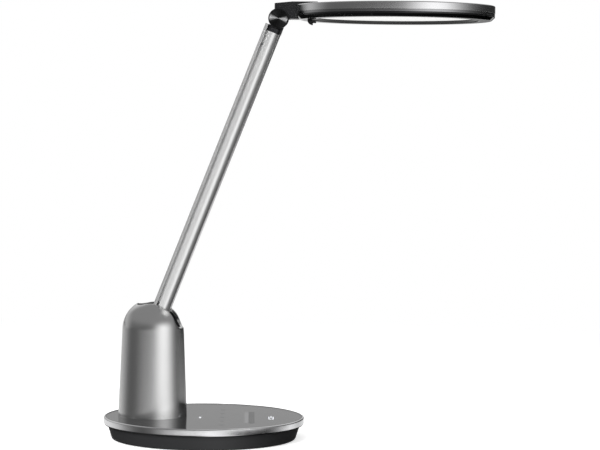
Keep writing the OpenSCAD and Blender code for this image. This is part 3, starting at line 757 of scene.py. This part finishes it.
RUBBER = Finish("black_rubber", (0.018, 0.018, 0.019), roughness=0.72, cells_per_mm=2.0, depth_mm=0.01)
TRAY_BLACK = Finish(
    "tray_black", (0.036, 0.0365, 0.038), roughness=0.5, cells_per_mm=2.5, depth_mm=0.006
)
PLATE = Finish(
    "plate_grey", (0.030, 0.030, 0.031), roughness=0.10, ior=1.45, cells_per_mm=0.8, depth_mm=0.0006,
    mottle=0.03, rough_vary=0.03,
)
ZINC = Finish("zinc_steel", (0.55, 0.55, 0.57), 1.0, 0.35, cells_per_mm=2.0)
NECK = Finish(
    "neck_black", (0.012, 0.012, 0.013), roughness=0.22, cells_per_mm=1.5, depth_mm=0.002,
    rough_vary=0.06,
)
SEAT = Finish("seat_black", (0.010, 0.010, 0.011), roughness=0.12, cells_per_mm=1.5, depth_mm=0.001)
BEZEL = Finish(
    "bezel_black", (0.006, 0.006, 0.0065), roughness=0.06, cells_per_mm=0.6, depth_mm=0.0004,
    rough_vary=0.03,
)
OPAL = Finish("diffuser_white", (0.90, 0.90, 0.89), roughness=0.45, mottle=0.01, emission=0.92)
SHELL = Finish(
    "satin_shell", (0.84, 0.84, 0.84), 1.0, 0.24, cells_per_mm=4.0, depth_mm=0.0012, mottle=0.03,
    rough_vary=0.05,
)
ARM_SILVER = DrawnFinish(
    "arm_silver", (0.90, 0.90, 0.90), 0.70, 0.22, cells_per_mm=4.0, depth_mm=0.0015, mottle=0.03
)
STRIP = Finish("strip_grey", (0.55, 0.55, 0.55), 0.60, 0.28, depth_mm=0.002, mottle=0.04)
HOUSING = TurnedFinish(
    "housing_silver", (0.86, 0.86, 0.87), 1.0, 0.20, axis=STANCE.panel(), rings_per_mm=2.0,
    depth_mm=0.0006, mottle=0.02, rough_vary=0.04,
)
TRIM = TurnedFinish(
    "trim_metal", (0.40, 0.40, 0.41), 1.0, 0.20, axis=STANCE.panel(), rings_per_mm=2.0,
    depth_mm=0.0006, mottle=0.02,
)
RIM = TurnedFinish(
    "rim_silver", (0.84, 0.84, 0.85), 1.0, 0.12, axis=STANCE.base(), rings_per_mm=2.0,
    depth_mm=0.0006, mottle=0.02,
)
END = Finish("end_dark", (0.035, 0.035, 0.038), 0.6, 0.34, cells_per_mm=2.5, depth_mm=0.003)
PRINT = Finish("lens_white", (0.80, 0.82, 0.86), roughness=0.3, emission=0.35, depth_mm=0.001)
TICK_PRINT = Finish("plate_grey", (0.020, 0.020, 0.021), roughness=0.16, ior=1.42, depth_mm=0.001)
TRACK_PRINT = Finish("plate_grey", (0.012, 0.012, 0.013), roughness=0.18, ior=1.26, depth_mm=0.001)
BAR_PRINT = Finish("plate_grey", (0.14, 0.14, 0.145), roughness=0.12, ior=1.45, depth_mm=0.001)


def spun_cap(axis: Matrix) -> SpunPaintedHighlightFinish:
    """The finish of a cap that was spun round an axis, with a painted highlight in its colour."""
    return SpunPaintedHighlightFinish(
        "cap_metal", (0.92, 0.92, 0.93), 1.0, 0.16, axis=axis, rings_per_mm=3.0, depth_mm=0.07,
        mottle=0.02,
    )


# The CAD nodes that stay, by their finish
CARRIED: dict[Finish, tuple[str, ...]] = {
    RUBBER: ("anti_slip_pad",),
    ZINC: (
        "ballast_spacers", "base_screws", "board_screws", "pillar_screws", "pivot_bolt",
        "pivot_nut", "arm_foot_screws", "arm_end_screws", "hinge_bolt", "hinge_nut",
        "neck_screws", "back_plate_screws",
    ),
    Finish("ballast_iron", (0.12, 0.12, 0.125), 0.9, 0.6, cells_per_mm=1.0, depth_mm=0.05, mottle=0.15): (
        "ballast_weight",
    ),
    Finish("board_green", (0.02, 0.11, 0.06), roughness=0.35, mottle=0.12): ("control_board",),
    Finish("board_parts", (0.03, 0.03, 0.032), roughness=0.5): ("board_components",),
    Finish("copper", (0.75, 0.42, 0.25), 1.0, 0.3): ("touch_pads",),
    PRINT: ("indicator_lens",),
    Finish("inlet_black", (0.015, 0.015, 0.016), roughness=0.4): ("power_inlet",),
    Finish("bracket_metal", (0.42, 0.42, 0.44), 1.0, 0.5, depth_mm=0.02): ("pivot_bracket",),
    Finish("washer_brown", (0.10, 0.075, 0.055), roughness=0.7): (
        "pivot_friction_washers", "hinge_friction_washers",
    ),
    Finish("spring_steel", (0.32, 0.33, 0.36), 1.0, 0.35): ("pivot_disc_springs",),
    Finish("foot_dark", (0.045, 0.045, 0.048), 0.6, 0.4, cells_per_mm=2.5): ("arm_foot",),
    Finish("lead_grey", (0.55, 0.55, 0.53), roughness=0.5): ("arm_cable",),
    Finish("guide_clear", (0.80, 0.84, 0.86), roughness=0.08): ("light_guide",),
    Finish("reflector_white", (0.92, 0.92, 0.92), roughness=0.35): ("reflector_sheet",),
    Finish("back_plate_metal", (0.72, 0.73, 0.74), 1.0, 0.4): ("back_plate",),
    Finish("led_board_white", (0.85, 0.85, 0.80), roughness=0.4): ("led_strip",),
    Finish("led_yellow", (0.90, 0.72, 0.25), roughness=0.3): ("led_chips",),
    Finish("liner_black", (0.012, 0.012, 0.013), roughness=0.5, cells_per_mm=2.0): ("slot_liner",),
}


# ---------------- base


@dataclass
class Base(SubAssembly):
    """The round base: tray, rim band, top plate and its touch marks.

    A spot is one printed mark: its centre's X and Y, then its sizes along X and along Y.
    """

    body: Body = Body.BASE
    radius: float = 90.5
    rim_low: float = 13.5
    rim_high: float = 20.2
    rim_wall: float = 5.5
    rim_lip: float = 1.6
    rim_edge: float = 1.1
    lip_edge: float = 0.2
    plate_top: float = 19.8
    plate_thick: float = 2.0
    plate_gap: float = 0.1
    plate_edge: float = 0.25
    tray_low: float = 0.5
    tray_wall: float = 2.5
    tray_bottom_radius: float = 83.0
    tray_top_radius: float = 87.2
    tray_edge: float = 1.2
    spigot_radii: tuple[float, float] = (84.9, 82.4)
    spigot_rise: float = 2.5
    pad_radius: float = 70.1
    pad_sunk: float = 1.1
    inlet_low: Place = (-90, -4.6, 3.6)
    inlet_high: Place = (-70, 4.6, 12.1)
    marks_turn: float = 6.3
    mark_thick: float = 0.04
    mark_round: float = 0.45
    tick_count: int = 5
    tick_pitch: float = 25.6
    first_tick: Spot = (16.6, 45.4, 3.6, 6.0)
    slider_bar: Spot = (38.6, -8.0, 3.4, 76.0)
    slider_track: Spot = (43.1, -6.8, 5.4, 78.0)
    status_dot: Spot = (-3.3, -8.7, 2.0, 8.0)
    power_key: tuple[Spot, ...] = (
        (58.8, -9.0, 1.0, 16.0), (62.6, -9.0, 1.0, 16.0), (60.7, -17.0, 4.8, 2.4),
        (60.7, -3.0, 1.0, 12.0),
    )

    def build(self) -> None:
        """Makes the base's pieces."""
        self.rim()
        self.plate()
        self.tray()
        self.marks()

    def rim(self) -> None:
        """The silver band."""
        inner, ledge = self.radius - self.rim_wall, self.radius - self.rim_lip
        shelf = self.plate_top - self.plate_thick
        bm = lathe([
            (inner, self.rim_low), (self.radius, self.rim_low), (self.radius, self.rim_high),
            (ledge, self.rim_high), (ledge, shelf), (inner, shelf),
        ])
        for height in (self.rim_high, self.rim_low):
            soften(bm, self.rim_edge, on_ring(self.radius, height), segments=4)
        soften(bm, self.lip_edge, on_ring(ledge, self.rim_high), segments=2)
        self.add("base_rim_band", bm, STANCE.base(), RIM, "base_rim")

    def plate(self) -> None:
        """The glossy top face."""
        edge = self.radius - self.rim_lip - self.plate_gap
        low = self.plate_top - self.plate_thick
        bm = lathe([(0, low), (edge, low), (edge, self.plate_top), (0, self.plate_top)], closed=False)
        soften(bm, self.plate_edge, on_ring(edge, self.plate_top))
        self.add("base_top_plate", bm, STANCE.base(), PLATE, "base_plate")

    def tray(self) -> None:
        """The black tray, with the spigot that holds the band and its inlet's opening."""
        low, wall = self.tray_low, self.tray_wall
        outside, inside = self.spigot_radii
        top = self.rim_low + self.spigot_rise
        bm = lathe([
            (0, low + self.pad_sunk), (self.pad_radius, low + self.pad_sunk), (self.pad_radius, low),
            (self.tray_bottom_radius, low), (self.tray_top_radius, self.rim_low),
            (outside, self.rim_low), (outside, top), (inside, top),
            (self.tray_bottom_radius - wall, low + wall), (0, low + wall),
        ], closed=False)
        soften(bm, self.tray_edge, on_ring(self.tray_bottom_radius, low), segments=5)
        bm = cut(bm, block(self.inlet_low, self.inlet_high))
        self.add("base_tray_shell", bm, STANCE.base(), TRAY_BLACK, "base_tray")

    def marks(self) -> None:
        """Generic touch marks: five ticks, a slider, a lit dot and a lit key."""
        group = STANCE.base() @ Matrix.Rotation(math.radians(self.marks_turn), 4, "Z")
        x, y, *size = self.first_tick
        ticks = [(x, y - self.tick_pitch * number, *size) for number in range(self.tick_count)]
        for name, spots, finish in (
            ("touch_ticks", ticks, TICK_PRINT),
            ("slider_bar", [self.slider_bar], BAR_PRINT),
            ("slider_track", [self.slider_track], TRACK_PRINT),
            ("status_dot", [self.status_dot], PRINT),
            ("power_key", self.power_key, PRINT),
        ):
            bm = bmesh.new()
            for x, y, width, depth in spots:
                place = Matrix.Translation((x, y, self.plate_top + self.mark_thick / 2))
                size = Matrix.Diagonal((width, depth, self.mark_thick, 1))
                bmesh.ops.create_cube(bm, size=1.0, matrix=place @ size)
            soften(bm, min(spots[0][2:]) * self.mark_round, self.upright, segments=4)
            self.add(name, bm, group, finish)

    def upright(self, edge: BMEdge) -> bool:
        """Whether an edge is one of a mark's four upright ones."""
        return abs(edge.verts[0].co.z - edge.verts[1].co.z) > self.mark_thick / 2


# ---------------- pillar


@dataclass
class Pillar(SubAssembly):
    """The bullet-shaped pillar with the slot that the arm leans in.

    The slot's rounding is slot_edge at the back. It grows to front_edge over front_over, which
    starts front_from ahead of the pillar's axis.
    """

    body: Body = Body.BASE
    foot_radius: float = 31.2
    foot_z: float = 19.8
    dome_radius: float = 27.8
    wall: float = 3.0
    slot_width: float = 26.0
    slot_back: float = 14.0
    slot_front: float = 3.0
    rear_corner: float = 9.0
    front_corner: float = 6.0
    slot_edge: float = 1.0
    front_edge: float = 2.6
    front_from: float = 2.0
    front_over: float = 12.0
    fine_margin: float = 1.2
    cutter_reach: float = 60.0
    cutter_top: float = 180.0

    def bullet(self, wall: float) -> BMesh:
        """The bullet as a closed solid.

        Args:
            wall: how far it is drawn in from the pillar's outside.

        Returns:
            The bmesh.
        """
        rise = STANCE.dome_z - self.foot_z
        taper = math.atan2(self.foot_radius, rise) - math.asin(
            self.dome_radius / math.hypot(self.foot_radius, rise)
        )
        radius = self.dome_radius - wall
        touch = (radius * math.cos(taper), 0, STANCE.dome_z + radius * math.sin(taper))
        bm = sheet_of([(self.foot_radius - wall / math.cos(taper), 0, self.foot_z), touch], closed=False)
        bm.verts.ensure_lookup_table()
        bmesh.ops.subdivide_edges(bm, edges=bm.edges[:], cuts=12)
        tip = max(bm.verts, key=lambda v: v.co.z)
        bmesh.ops.spin(
            bm, geom=[tip], cent=(0, 0, STANCE.dome_z), axis=(0, 1, 0), dvec=(0, 0, 0),
            angle=-(math.pi / 2 - taper), steps=40, use_merge=False, use_duplicate=False,
        )
        for vert in bm.verts:
            if abs(vert.co.x) < MERGE_WITHIN:
                vert.co.x = 0.0
        centre = bm.verts.new((0, 0, self.foot_z))
        level = [v for v in bm.verts if abs(v.co.z - self.foot_z) < MERGE_WITHIN]
        bm.edges.new((centre, max(level, key=lambda v: v.co.x)))
        turn(bm, steps=160)
        return bm

    def round_bar(self, low: float, high: float, seen: Seen) -> BMesh:
        """A long bar with the slot's round end.

        Args:
            low: the round end's place.
            high: the far end's place.
            seen: where its outline is seen from.

        Returns:
            The bar's bmesh.
        """
        half, reach = self.slot_width / 2, self.cutter_reach
        flat = [(low, -half), (high, -half), (high, half), (low, half)]
        if seen is Seen.FROM_ABOVE:
            outline = [(a, b, STANCE.dome_z) for a, b in flat]
            return slab(outline, (0, 0, reach), {0: self.rear_corner, 3: self.rear_corner})
        outline = [(-reach, b, a) for a, b in flat]
        return slab(outline, (2 * reach, 0, 0), {0: self.front_corner, 3: self.front_corner})

    def beyond_slot(self, at: Vector) -> float:
        """How far a place lies outside the slot's straight walls.

        Args:
            at: the place.

        Returns:
            The distance, negative inside the walls.
        """
        def beyond(depth: float, across: float, corner: float) -> float:
            """The distance from one outline with round corners at its near end."""
            a, b = corner - depth, abs(across) - (self.slot_width / 2 - corner)
            return math.hypot(max(a, 0), max(b, 0)) + min(max(a, b), 0) - corner

        front = STANCE.dome_z + self.slot_front
        return max(
            beyond(at.x + self.slot_back, at.y, self.rear_corner),
            beyond(at.z - front, at.y, self.front_corner),
        )

    def round_slot_edge(self, bm: BMesh) -> None:
        """Sinks the dome's skin along the slot so that the cut leaves a round edge.

        Args:
            bm: the outer bullet, still whole; its skin near the slot gets finer first.
        """
        near = [
            f for f in bm.faces
            if f.calc_center_median().z > STANCE.dome_z
            and abs(self.beyond_slot(f.calc_center_median())) < self.front_edge + self.fine_margin
        ]
        edges = {e for f in near for e in f.edges}
        bmesh.ops.subdivide_edges(bm, edges=list(edges), cuts=3, use_grid_fill=True)
        centre = Vector((0, 0, STANCE.dome_z))
        for vert in bm.verts:
            if vert.co.z < STANCE.dome_z:
                continue
            out = (vert.co - centre).normalized()
            ahead = min(max((out.x * self.dome_radius - self.front_from) / self.front_over, 0.0), 1.0)
            reach = self.slot_edge + (self.front_edge - self.slot_edge) * ahead
            left = reach - min(max(self.beyond_slot(centre + out * self.dome_radius), 0), reach)
            vert.co = centre + out * (self.dome_radius - reach + math.sqrt(reach**2 - left**2))

    def build(self) -> None:
        """Makes the pillar."""
        tool = cut(
            self.round_bar(-self.slot_back, self.cutter_reach, Seen.FROM_ABOVE),
            self.round_bar(STANCE.dome_z + self.slot_front, self.cutter_top, Seen.FROM_AHEAD),
            Keep.SHARED,
        )
        hollow = self.bullet(self.wall)
        outer = self.bullet(0.0)
        self.round_slot_edge(outer)
        self.add("pillar_body", cut(cut(outer, hollow), tool), STANCE.pillar(), SHELL, "pillar_shell")


# ---------------- arm


@dataclass
class Arm(SubAssembly):
    """The arm: an extrusion with a rounded front, its rear strip and its end fitting."""

    body: Body = Body.ARM
    width: float = 24.4
    front: float = 5.5
    back: float = -6.5
    groove_w: float = 2.2
    groove_d: float = 6.0
    corner: float = 6.4
    start: float = 18.0
    end: float = 294.9
    strip_back: float = -9.4
    strip_end: float = 300.6
    strip_width: float = 23.8
    strip_corner: float = 1.5
    collar_edge: float = 0.25

    def build(self) -> None:
        """Makes the arm's pieces."""
        half, notch = self.width / 2, self.width / 2 - self.groove_d
        side = self.back + self.groove_w
        bm = self.bar([
            (self.back, -notch), (side, -notch), (side, -half), (self.front, -half),
            (self.front, half), (side, half), (side, notch), (self.back, notch),
        ], self.end, {3: self.corner, 4: self.corner})
        self.add("arm_extrusion", bm, STANCE.arm(), ARM_SILVER, "arm_profile")
        half = self.strip_width / 2
        bm = self.bar([
            (self.strip_back, -half), (self.back, -half), (self.back, half), (self.strip_back, half),
        ], self.strip_end, {0: self.strip_corner, 3: self.strip_corner})
        self.add("arm_back_strip", bm, STANCE.arm(), STRIP, "arm_rear_strip")
        fitting = copy_of("arm_end_fitting", STANCE.arm())
        soften(fitting, self.collar_edge, sharper_than(CORNER_ABOVE), segments=2)
        self.add("arm_end_collar", fitting, STANCE.arm(), END, "arm_end_fitting")

    def bar(self, section: Sequence[tuple[float, float]], end: float, rounds: dict[int, float]) -> BMesh:
        """A section pushed along the arm from its start to an end."""
        return slab([(x, y, self.start) for x, y in section], (0, 0, end - self.start), rounds)


# ---------------- head


@dataclass
class Head(SubAssembly):
    """The round panel, its neck and the hinge's caps.

    The radii of seats and caps are those on the camera's side, then those on the far side.
    The chin is a box that joins the neck block, at its underside next to the panel.
    """

    body: Body = Body.HEAD
    radius: float = 88.7
    drop: float = 1.0
    bezel_h: float = 4.3
    bevel_h: float = 2.9
    bevel_w: float = 3.1
    face_w: float = 11.2
    face_edge: float = 0.4
    bevel_edge: float = 0.3
    bezel_edge: float = 0.2
    trim_h: float = 2.2
    trim_inset: float = 0.3
    seam_edge: float = 0.15
    housing_h: float = 6.6
    housing_thick: float = 1.6
    housing_edge: float = 1.0
    wall: float = 2.0
    recess: float = 3.0
    diffuser_tuck: float = 2.1
    diffuser_thick: float = 1.2
    neck_width: float = 22.0
    neck_edge: float = 0.3
    seat_radii: tuple[float, float] = (9.2, 6.6)
    seat_bore: float = 2.0
    seat_thick: float = 2.0
    seat_edge: float = 0.5
    cap_radii: tuple[float, float] = (8.2, 5.8)
    cap_thick: float = 1.6
    cap_sunk: float = 0.2
    cap_rim: float = 1.2
    cap_dish: float = 0.5
    cap_centre: float = 0.4
    cap_edge: float = 0.35
    cap_steps: int = 96
    chin: tuple[Place, Place] = ((13.0, -10.9, -0.3), (19.5, 10.9, 1.2))

    def build(self) -> None:
        """Makes the head's pieces."""
        self.panel()
        self.neck()
        self.caps()

    def panel(self) -> None:
        """Housing, trim ring, bezel and diffuser."""
        low = -self.drop
        bezel_top = low + self.bezel_h
        trim_top = bezel_top + self.trim_h
        top = trim_top + self.housing_h
        inner = self.radius - self.wall
        ceiling = top - self.housing_thick
        bm = lathe([
            (0, ceiling), (inner, ceiling), (inner, trim_top), (self.radius, trim_top),
            (self.radius, top), (0, top),
        ], closed=False)
        soften(bm, self.housing_edge, on_ring(self.radius, top), segments=4)
        soften(bm, self.seam_edge, on_ring(self.radius, trim_top), segments=2)
        self.add("head_shell", bm, STANCE.panel(), HOUSING, "head_housing")

        outer = self.radius - self.trim_inset
        bm = lathe([(inner, bezel_top), (outer, bezel_top), (outer, trim_top), (inner, trim_top)])
        soften(bm, self.seam_edge, on_ring(outer, bezel_top), segments=2)
        self.add("head_trim", bm, STANCE.panel(), TRIM, "head_trim_ring")

        face = self.radius - self.bevel_w - self.trim_inset
        lip = self.radius - self.bevel_w - self.face_w
        seat = low + self.recess
        bm = lathe([
            (lip, seat), (lip, low), (face, low), (outer, low + self.bevel_h), (outer, bezel_top),
            (outer - self.wall, bezel_top), (outer - self.wall, seat),
        ])
        soften(bm, self.face_edge, on_ring(lip, low), segments=4)
        soften(bm, self.face_edge, on_ring(face, low), segments=4)
        soften(bm, self.bevel_edge, on_ring(outer, low + self.bevel_h))
        soften(bm, self.bezel_edge, on_ring(outer, bezel_top))
        self.add("head_gloss_bezel", bm, STANCE.panel(), BEZEL, "head_bezel")

        rim, above = lip + self.diffuser_tuck, seat + self.diffuser_thick
        bm = lathe([(0, seat), (rim, seat), (rim, above), (0, above)], closed=False)
        self.add("head_diffuser", bm, STANCE.panel(), OPAL, "diffuser")

    def neck(self) -> None:
        """Fork, neck block and rest bumper, from the CAD solids with softer edges."""
        for node, name, finish in (
            ("hinge_fork", "neck_fork", NECK),
            ("neck_block", "neck_body", NECK),
            ("head_rest_bumper", "rest_bumper", RUBBER),
        ):
            bm = copy_of(node, STANCE.head())
            if node == "neck_block":
                bm = cut(bm, block(*self.chin), Keep.BOTH)
            soften(bm, self.neck_edge, sharper_than(CORNER_ABOVE), segments=2)
            self.add(name, bm, STANCE.head(), finish, node)

    def caps(self) -> None:
        """The gloss seats and the spun caps on both sides."""
        low = self.neck_width / 2
        high = low + self.seat_thick
        face = high + self.cap_thick
        for side, turn_by, outer, inner in zip(("near", "far"), (90, -90), self.seat_radii, self.cap_radii):
            place = STANCE.head() @ Matrix.Rotation(math.radians(turn_by), 4, "X")
            bore = self.seat_bore
            seat = lathe([(bore, low), (outer, low), (outer, high), (bore, high)], steps=self.cap_steps)
            soften(seat, self.seat_edge, on_ring(outer, high), segments=4)
            self.add(f"cap_seat_{side}", seat, place, SEAT, "hinge_cap_seats")
            cap = lathe([
                (0, high - self.cap_sunk), (inner, high - self.cap_sunk), (inner, face),
                (inner - self.cap_rim, face), (self.cap_centre, face - self.cap_dish),
                (0, face - self.cap_dish),
            ], closed=False, steps=self.cap_steps)
            soften(cap, self.cap_edge, on_ring(inner, face))
            self.add(f"hinge_cap_{side}", cap, place, spun_cap(place), "hinge_caps")


# ---------------- studio


@dataclass(frozen=True)
class Ring:
    """The light of the room along one ring of headings.

    It comes in from one elevation to another, over the rings below it. A heading is in degrees
    from the camera's side of the room towards the camera's right.
    """

    start: float
    end: float
    levels: Levels


# From the ring far below the horizon up to the one under the ceiling
RINGS = (
    Ring(-90.0, -90.0, (
        (-180, 0.0), (-120, 0.02), (-60, 0.04), (-12, 0.06), (4, 0.40), (16, 0.90), (32, 1.00),
        (44, 0.50), (56, 0.12), (68, 0.02), (78, 0.0), (180, 0.0),
    )),
    Ring(-11.5, -10.0, (
        (-180, 0.84), (-150, 0.80), (-130, 0.78), (-113, 0.60), (-97, 0.31), (-84, 0.14),
        (-72, 0.085), (-60, 0.14), (-50, 0.33), (-40, 0.60), (-30, 0.78), (-20, 0.98), (-11, 1.06),
        (-3, 1.20), (7, 1.32), (16, 1.14), (26, 0.74), (35, 0.24), (44, 0.02), (54, 0.0), (66, 0.0),
        (78, 0.0), (90, 0.22), (104, 0.62), (120, 1.00), (140, 0.64), (180, 0.84),
    )),
    Ring(-6.5, -5.5, (
        (-180, 0.90), (-165, 0.80), (-150, 0.50), (-127, 0.36), (-112, 0.25), (-98, 0.125),
        (-84, 0.10), (-60, 0.12), (-45, 0.16), (-30, 0.23), (-14, 0.29), (0, 0.33), (9, 0.40),
        (19, 0.68), (29, 1.03), (38, 1.22), (48, 1.30), (58, 1.18), (70, 0.77), (82, 0.36),
        (96, 0.10), (110, 0.02), (127, 0.0), (172, 0.0), (180, 0.60),
    )),
    Ring(0.8, 2.2, (
        (-180, 0.55), (-171, 0.55), (-163, 0.03), (-138, 0.02), (-131, 0.18), (-124, 0.50),
        (-116, 0.60), (-101, 0.33), (-88, 0.13), (-76, 0.09), (-48, 0.09), (-26, 0.05), (-12, 0.08),
        (0, 0.22), (9, 0.45), (19, 0.82), (29, 1.09), (38, 1.24), (48, 1.14), (58, 0.97), (70, 0.60),
        (82, 0.33), (96, 0.14), (110, 0.06), (127, 0.03), (163, 0.03), (171, 0.55), (180, 0.55),
    )),
    Ring(3.2, 4.8, (
        (-180, 0.55), (-171, 0.55), (-163, 0.45), (-138, 0.45), (-124, 0.45), (-101, 0.27),
        (-88, 0.14), (-48, 0.13), (-26, 0.13), (-12, 0.15), (0, 0.19), (9, 0.32), (19, 0.60),
        (29, 0.90), (38, 1.10), (48, 1.10), (58, 0.95), (70, 0.60), (82, 0.33), (96, 0.14),
        (110, 0.06), (127, 0.04), (163, 0.04), (171, 0.55), (180, 0.55),
    )),
    Ring(10.0, 32.0, (
        (-180, 0.80), (-155, 0.75), (-125, 0.24), (125, 0.24), (155, 0.75), (180, 0.80),
    )),
)


@dataclass(frozen=True)
class Lamp:
    """A square soft lamp: its place and its side in metres, its power in watts."""

    name: str
    place: Place
    side: float
    power: float


LAMPS = (
    Lamp("top_lamp", (0.1, -0.3, 1.6), 1.4, 10.0),
    Lamp("front_lamp", (-0.5, -1.8, 0.9), 1.2, 46.0),
)


@dataclass
class Studio:
    """Floor, world, lamps and camera, in metres and degrees."""

    azimuth: float = 5.0
    elevation: float = 2.656
    roll: float = 0.531
    distance: float = 2.007
    focal_px: float = 2232.3
    target: Place = (0.08575, 0.0, 0.19435)
    sensor_mm: float = 36.0
    ceiling_level: float = 0.24
    ceiling_start: float = 48.0
    ceiling_end: float = 64.0
    floor_radius: float = 40.0
    floor_grey: float = 0.8
    floor_lift: float = 0.66
    floor_return: float = 0.15
    white_from_mm: float = 400.0
    white_to_mm: float = 1200.0
    lamp_target: Place = (0.05, 0.0, 0.2)

    def build(self) -> None:
        """Sets the studio up."""
        self.camera()
        self.world()
        self.floor()
        self.lamps()

    def camera(self) -> None:
        """The camera of the photograph."""
        data = bpy.data.cameras.new("camera")
        data.sensor_width = self.sensor_mm
        data.lens = self.focal_px / IMAGE_WIDTH_PX * self.sensor_mm
        data.clip_end = 2 * self.floor_radius
        obj = in_scene("camera", data)
        side, up = math.radians(self.azimuth), math.radians(self.elevation)
        back = Vector((math.sin(side) * math.cos(up), -math.cos(side) * math.cos(up), math.sin(up)))
        obj.location = Vector(self.target) + back * self.distance
        roll = Quaternion((0, 0, 1), math.radians(self.roll))
        obj.rotation_euler = (back.to_track_quat("Z", "Y") @ roll).to_euler()
        bpy.context.scene.camera = obj

    def ring(self, recipe: Recipe, share: Ink, ring: Ring) -> Ink:
        """The room's level along one ring.

        Args:
            recipe: the world's recipe.
            share: the heading as a share of the turn, 0.5 being towards the camera.
            ring: the ring.

        Returns:
            The level.
        """
        stops = [((heading + 180) / 360, level) for heading, level in ring.levels]
        ramp = recipe.node("ShaderNodeValToRGB", {"stops": stops}, Fac=share)
        return Ink(recipe, recipe.node("ShaderNodeRGBToBW", Color=ramp.outputs[0]).outputs[0])

    def world(self) -> None:
        """The room that the surfaces mirror, ring by ring; the camera itself sees plain white."""
        world = bpy.data.worlds.new("studio")
        bpy.context.scene.world = world
        world.use_nodes = True
        recipe = Recipe(world.node_tree)
        ray = recipe.node("ShaderNodeTexCoord").outputs["Generated"]
        part = recipe.node("ShaderNodeSeparateXYZ", Vector=ray)
        x, y, z = (Ink(recipe, part.outputs[i]) for i in range(3))
        heading = recipe.math("ARCTAN2", x, y * -1.0) * DEGREES_PER_RADIAN - self.azimuth
        share = recipe.math("FRACT", heading / 360 + 1.5)
        elevation = recipe.math("ARCSINE", z) * DEGREES_PER_RADIAN
        light = self.ring(recipe, share, RINGS[0])
        for ring in RINGS[1:]:
            step = recipe.ease(elevation, ring.start, ring.end)
            light = light + step * (self.ring(recipe, share, ring) - light)
        step = recipe.ease(elevation, self.ceiling_start, self.ceiling_end)
        light = light + step * (self.ceiling_level - light)
        seen = Ink(recipe, recipe.node("ShaderNodeLightPath").outputs["Is Camera Ray"])
        back = recipe.node(
            "ShaderNodeBackground", Color=(1, 1, 1), Strength=light * (1 - seen) + seen
        )
        recipe.node("ShaderNodeOutputWorld", Surface=back.outputs[0])

    def floor(self) -> None:
        """A wide white floor that keeps the lamp's shadow."""
        bm = bmesh.new()
        bmesh.ops.create_circle(bm, cap_ends=True, cap_tris=False, segments=64, radius=self.floor_radius)
        obj = in_scene("floor", to_mesh(bm, "floor"))
        obj.data.materials.append(self.floor_material())

    def floor_material(self) -> bpy.types.Material:
        """The floor's look: white to the camera, dim in what it returns, clear to mirrors.

        Returns:
            The floor's material.
        """
        material = bpy.data.materials.new("floor")
        material.use_nodes = True
        recipe = Recipe(material.node_tree)
        matt = recipe.node("ShaderNodeBsdfDiffuse", Color=(self.floor_grey,) * 3)
        lift = recipe.node("ShaderNodeEmission", Color=(1, 1, 1), Strength=self.floor_lift)
        near = recipe.node("ShaderNodeAddShader", in0=matt.outputs[0], in1=lift.outputs[0])
        far = recipe.node("ShaderNodeEmission", Color=(1, 1, 1), Strength=1.0)
        away = recipe.ease(recipe.radius(STANCE.base()), self.white_from_mm, self.white_to_mm)
        path = recipe.node("ShaderNodeLightPath")
        dim = recipe.node("ShaderNodeBsdfDiffuse", Color=(self.floor_return,) * 3)
        lit = recipe.either(path.outputs["Is Camera Ray"], dim, recipe.either(away, near, far))
        clear = recipe.node("ShaderNodeBsdfTransparent")
        surface = recipe.either(path.outputs["Is Glossy Ray"], lit, clear)
        recipe.node("ShaderNodeOutputMaterial", Surface=surface.outputs[0])
        return material

    def lamps(self) -> None:
        """Soft lamps that light the matt surfaces evenly and aren't mirrored."""
        for lamp in LAMPS:
            data = bpy.data.lights.new(lamp.name, "AREA")
            data.shape = "RECTANGLE"
            data.size = lamp.side
            data.size_y = lamp.side
            data.energy = lamp.power
            obj = in_scene(lamp.name, data)
            obj.location = lamp.place
            aim = Vector(lamp.place) - Vector(self.lamp_target)
            obj.rotation_euler = aim.to_track_quat("Z", "Y").to_euler()
            obj.visible_glossy = False


def main() -> None:
    """Builds the studio and the lamp, in order."""
    logging.basicConfig(level=logging.INFO, format="%(message)s")
    bpy.context.scene.view_settings.view_transform = "Standard"
    Studio().build()
    shop = Workshop()
    for finish, nodes in CARRIED.items():
        shop.dress(nodes, finish)
    for part in (Base, Pillar, Arm, Head):
        part(shop).build()


if __name__ == "__main__":
    main()
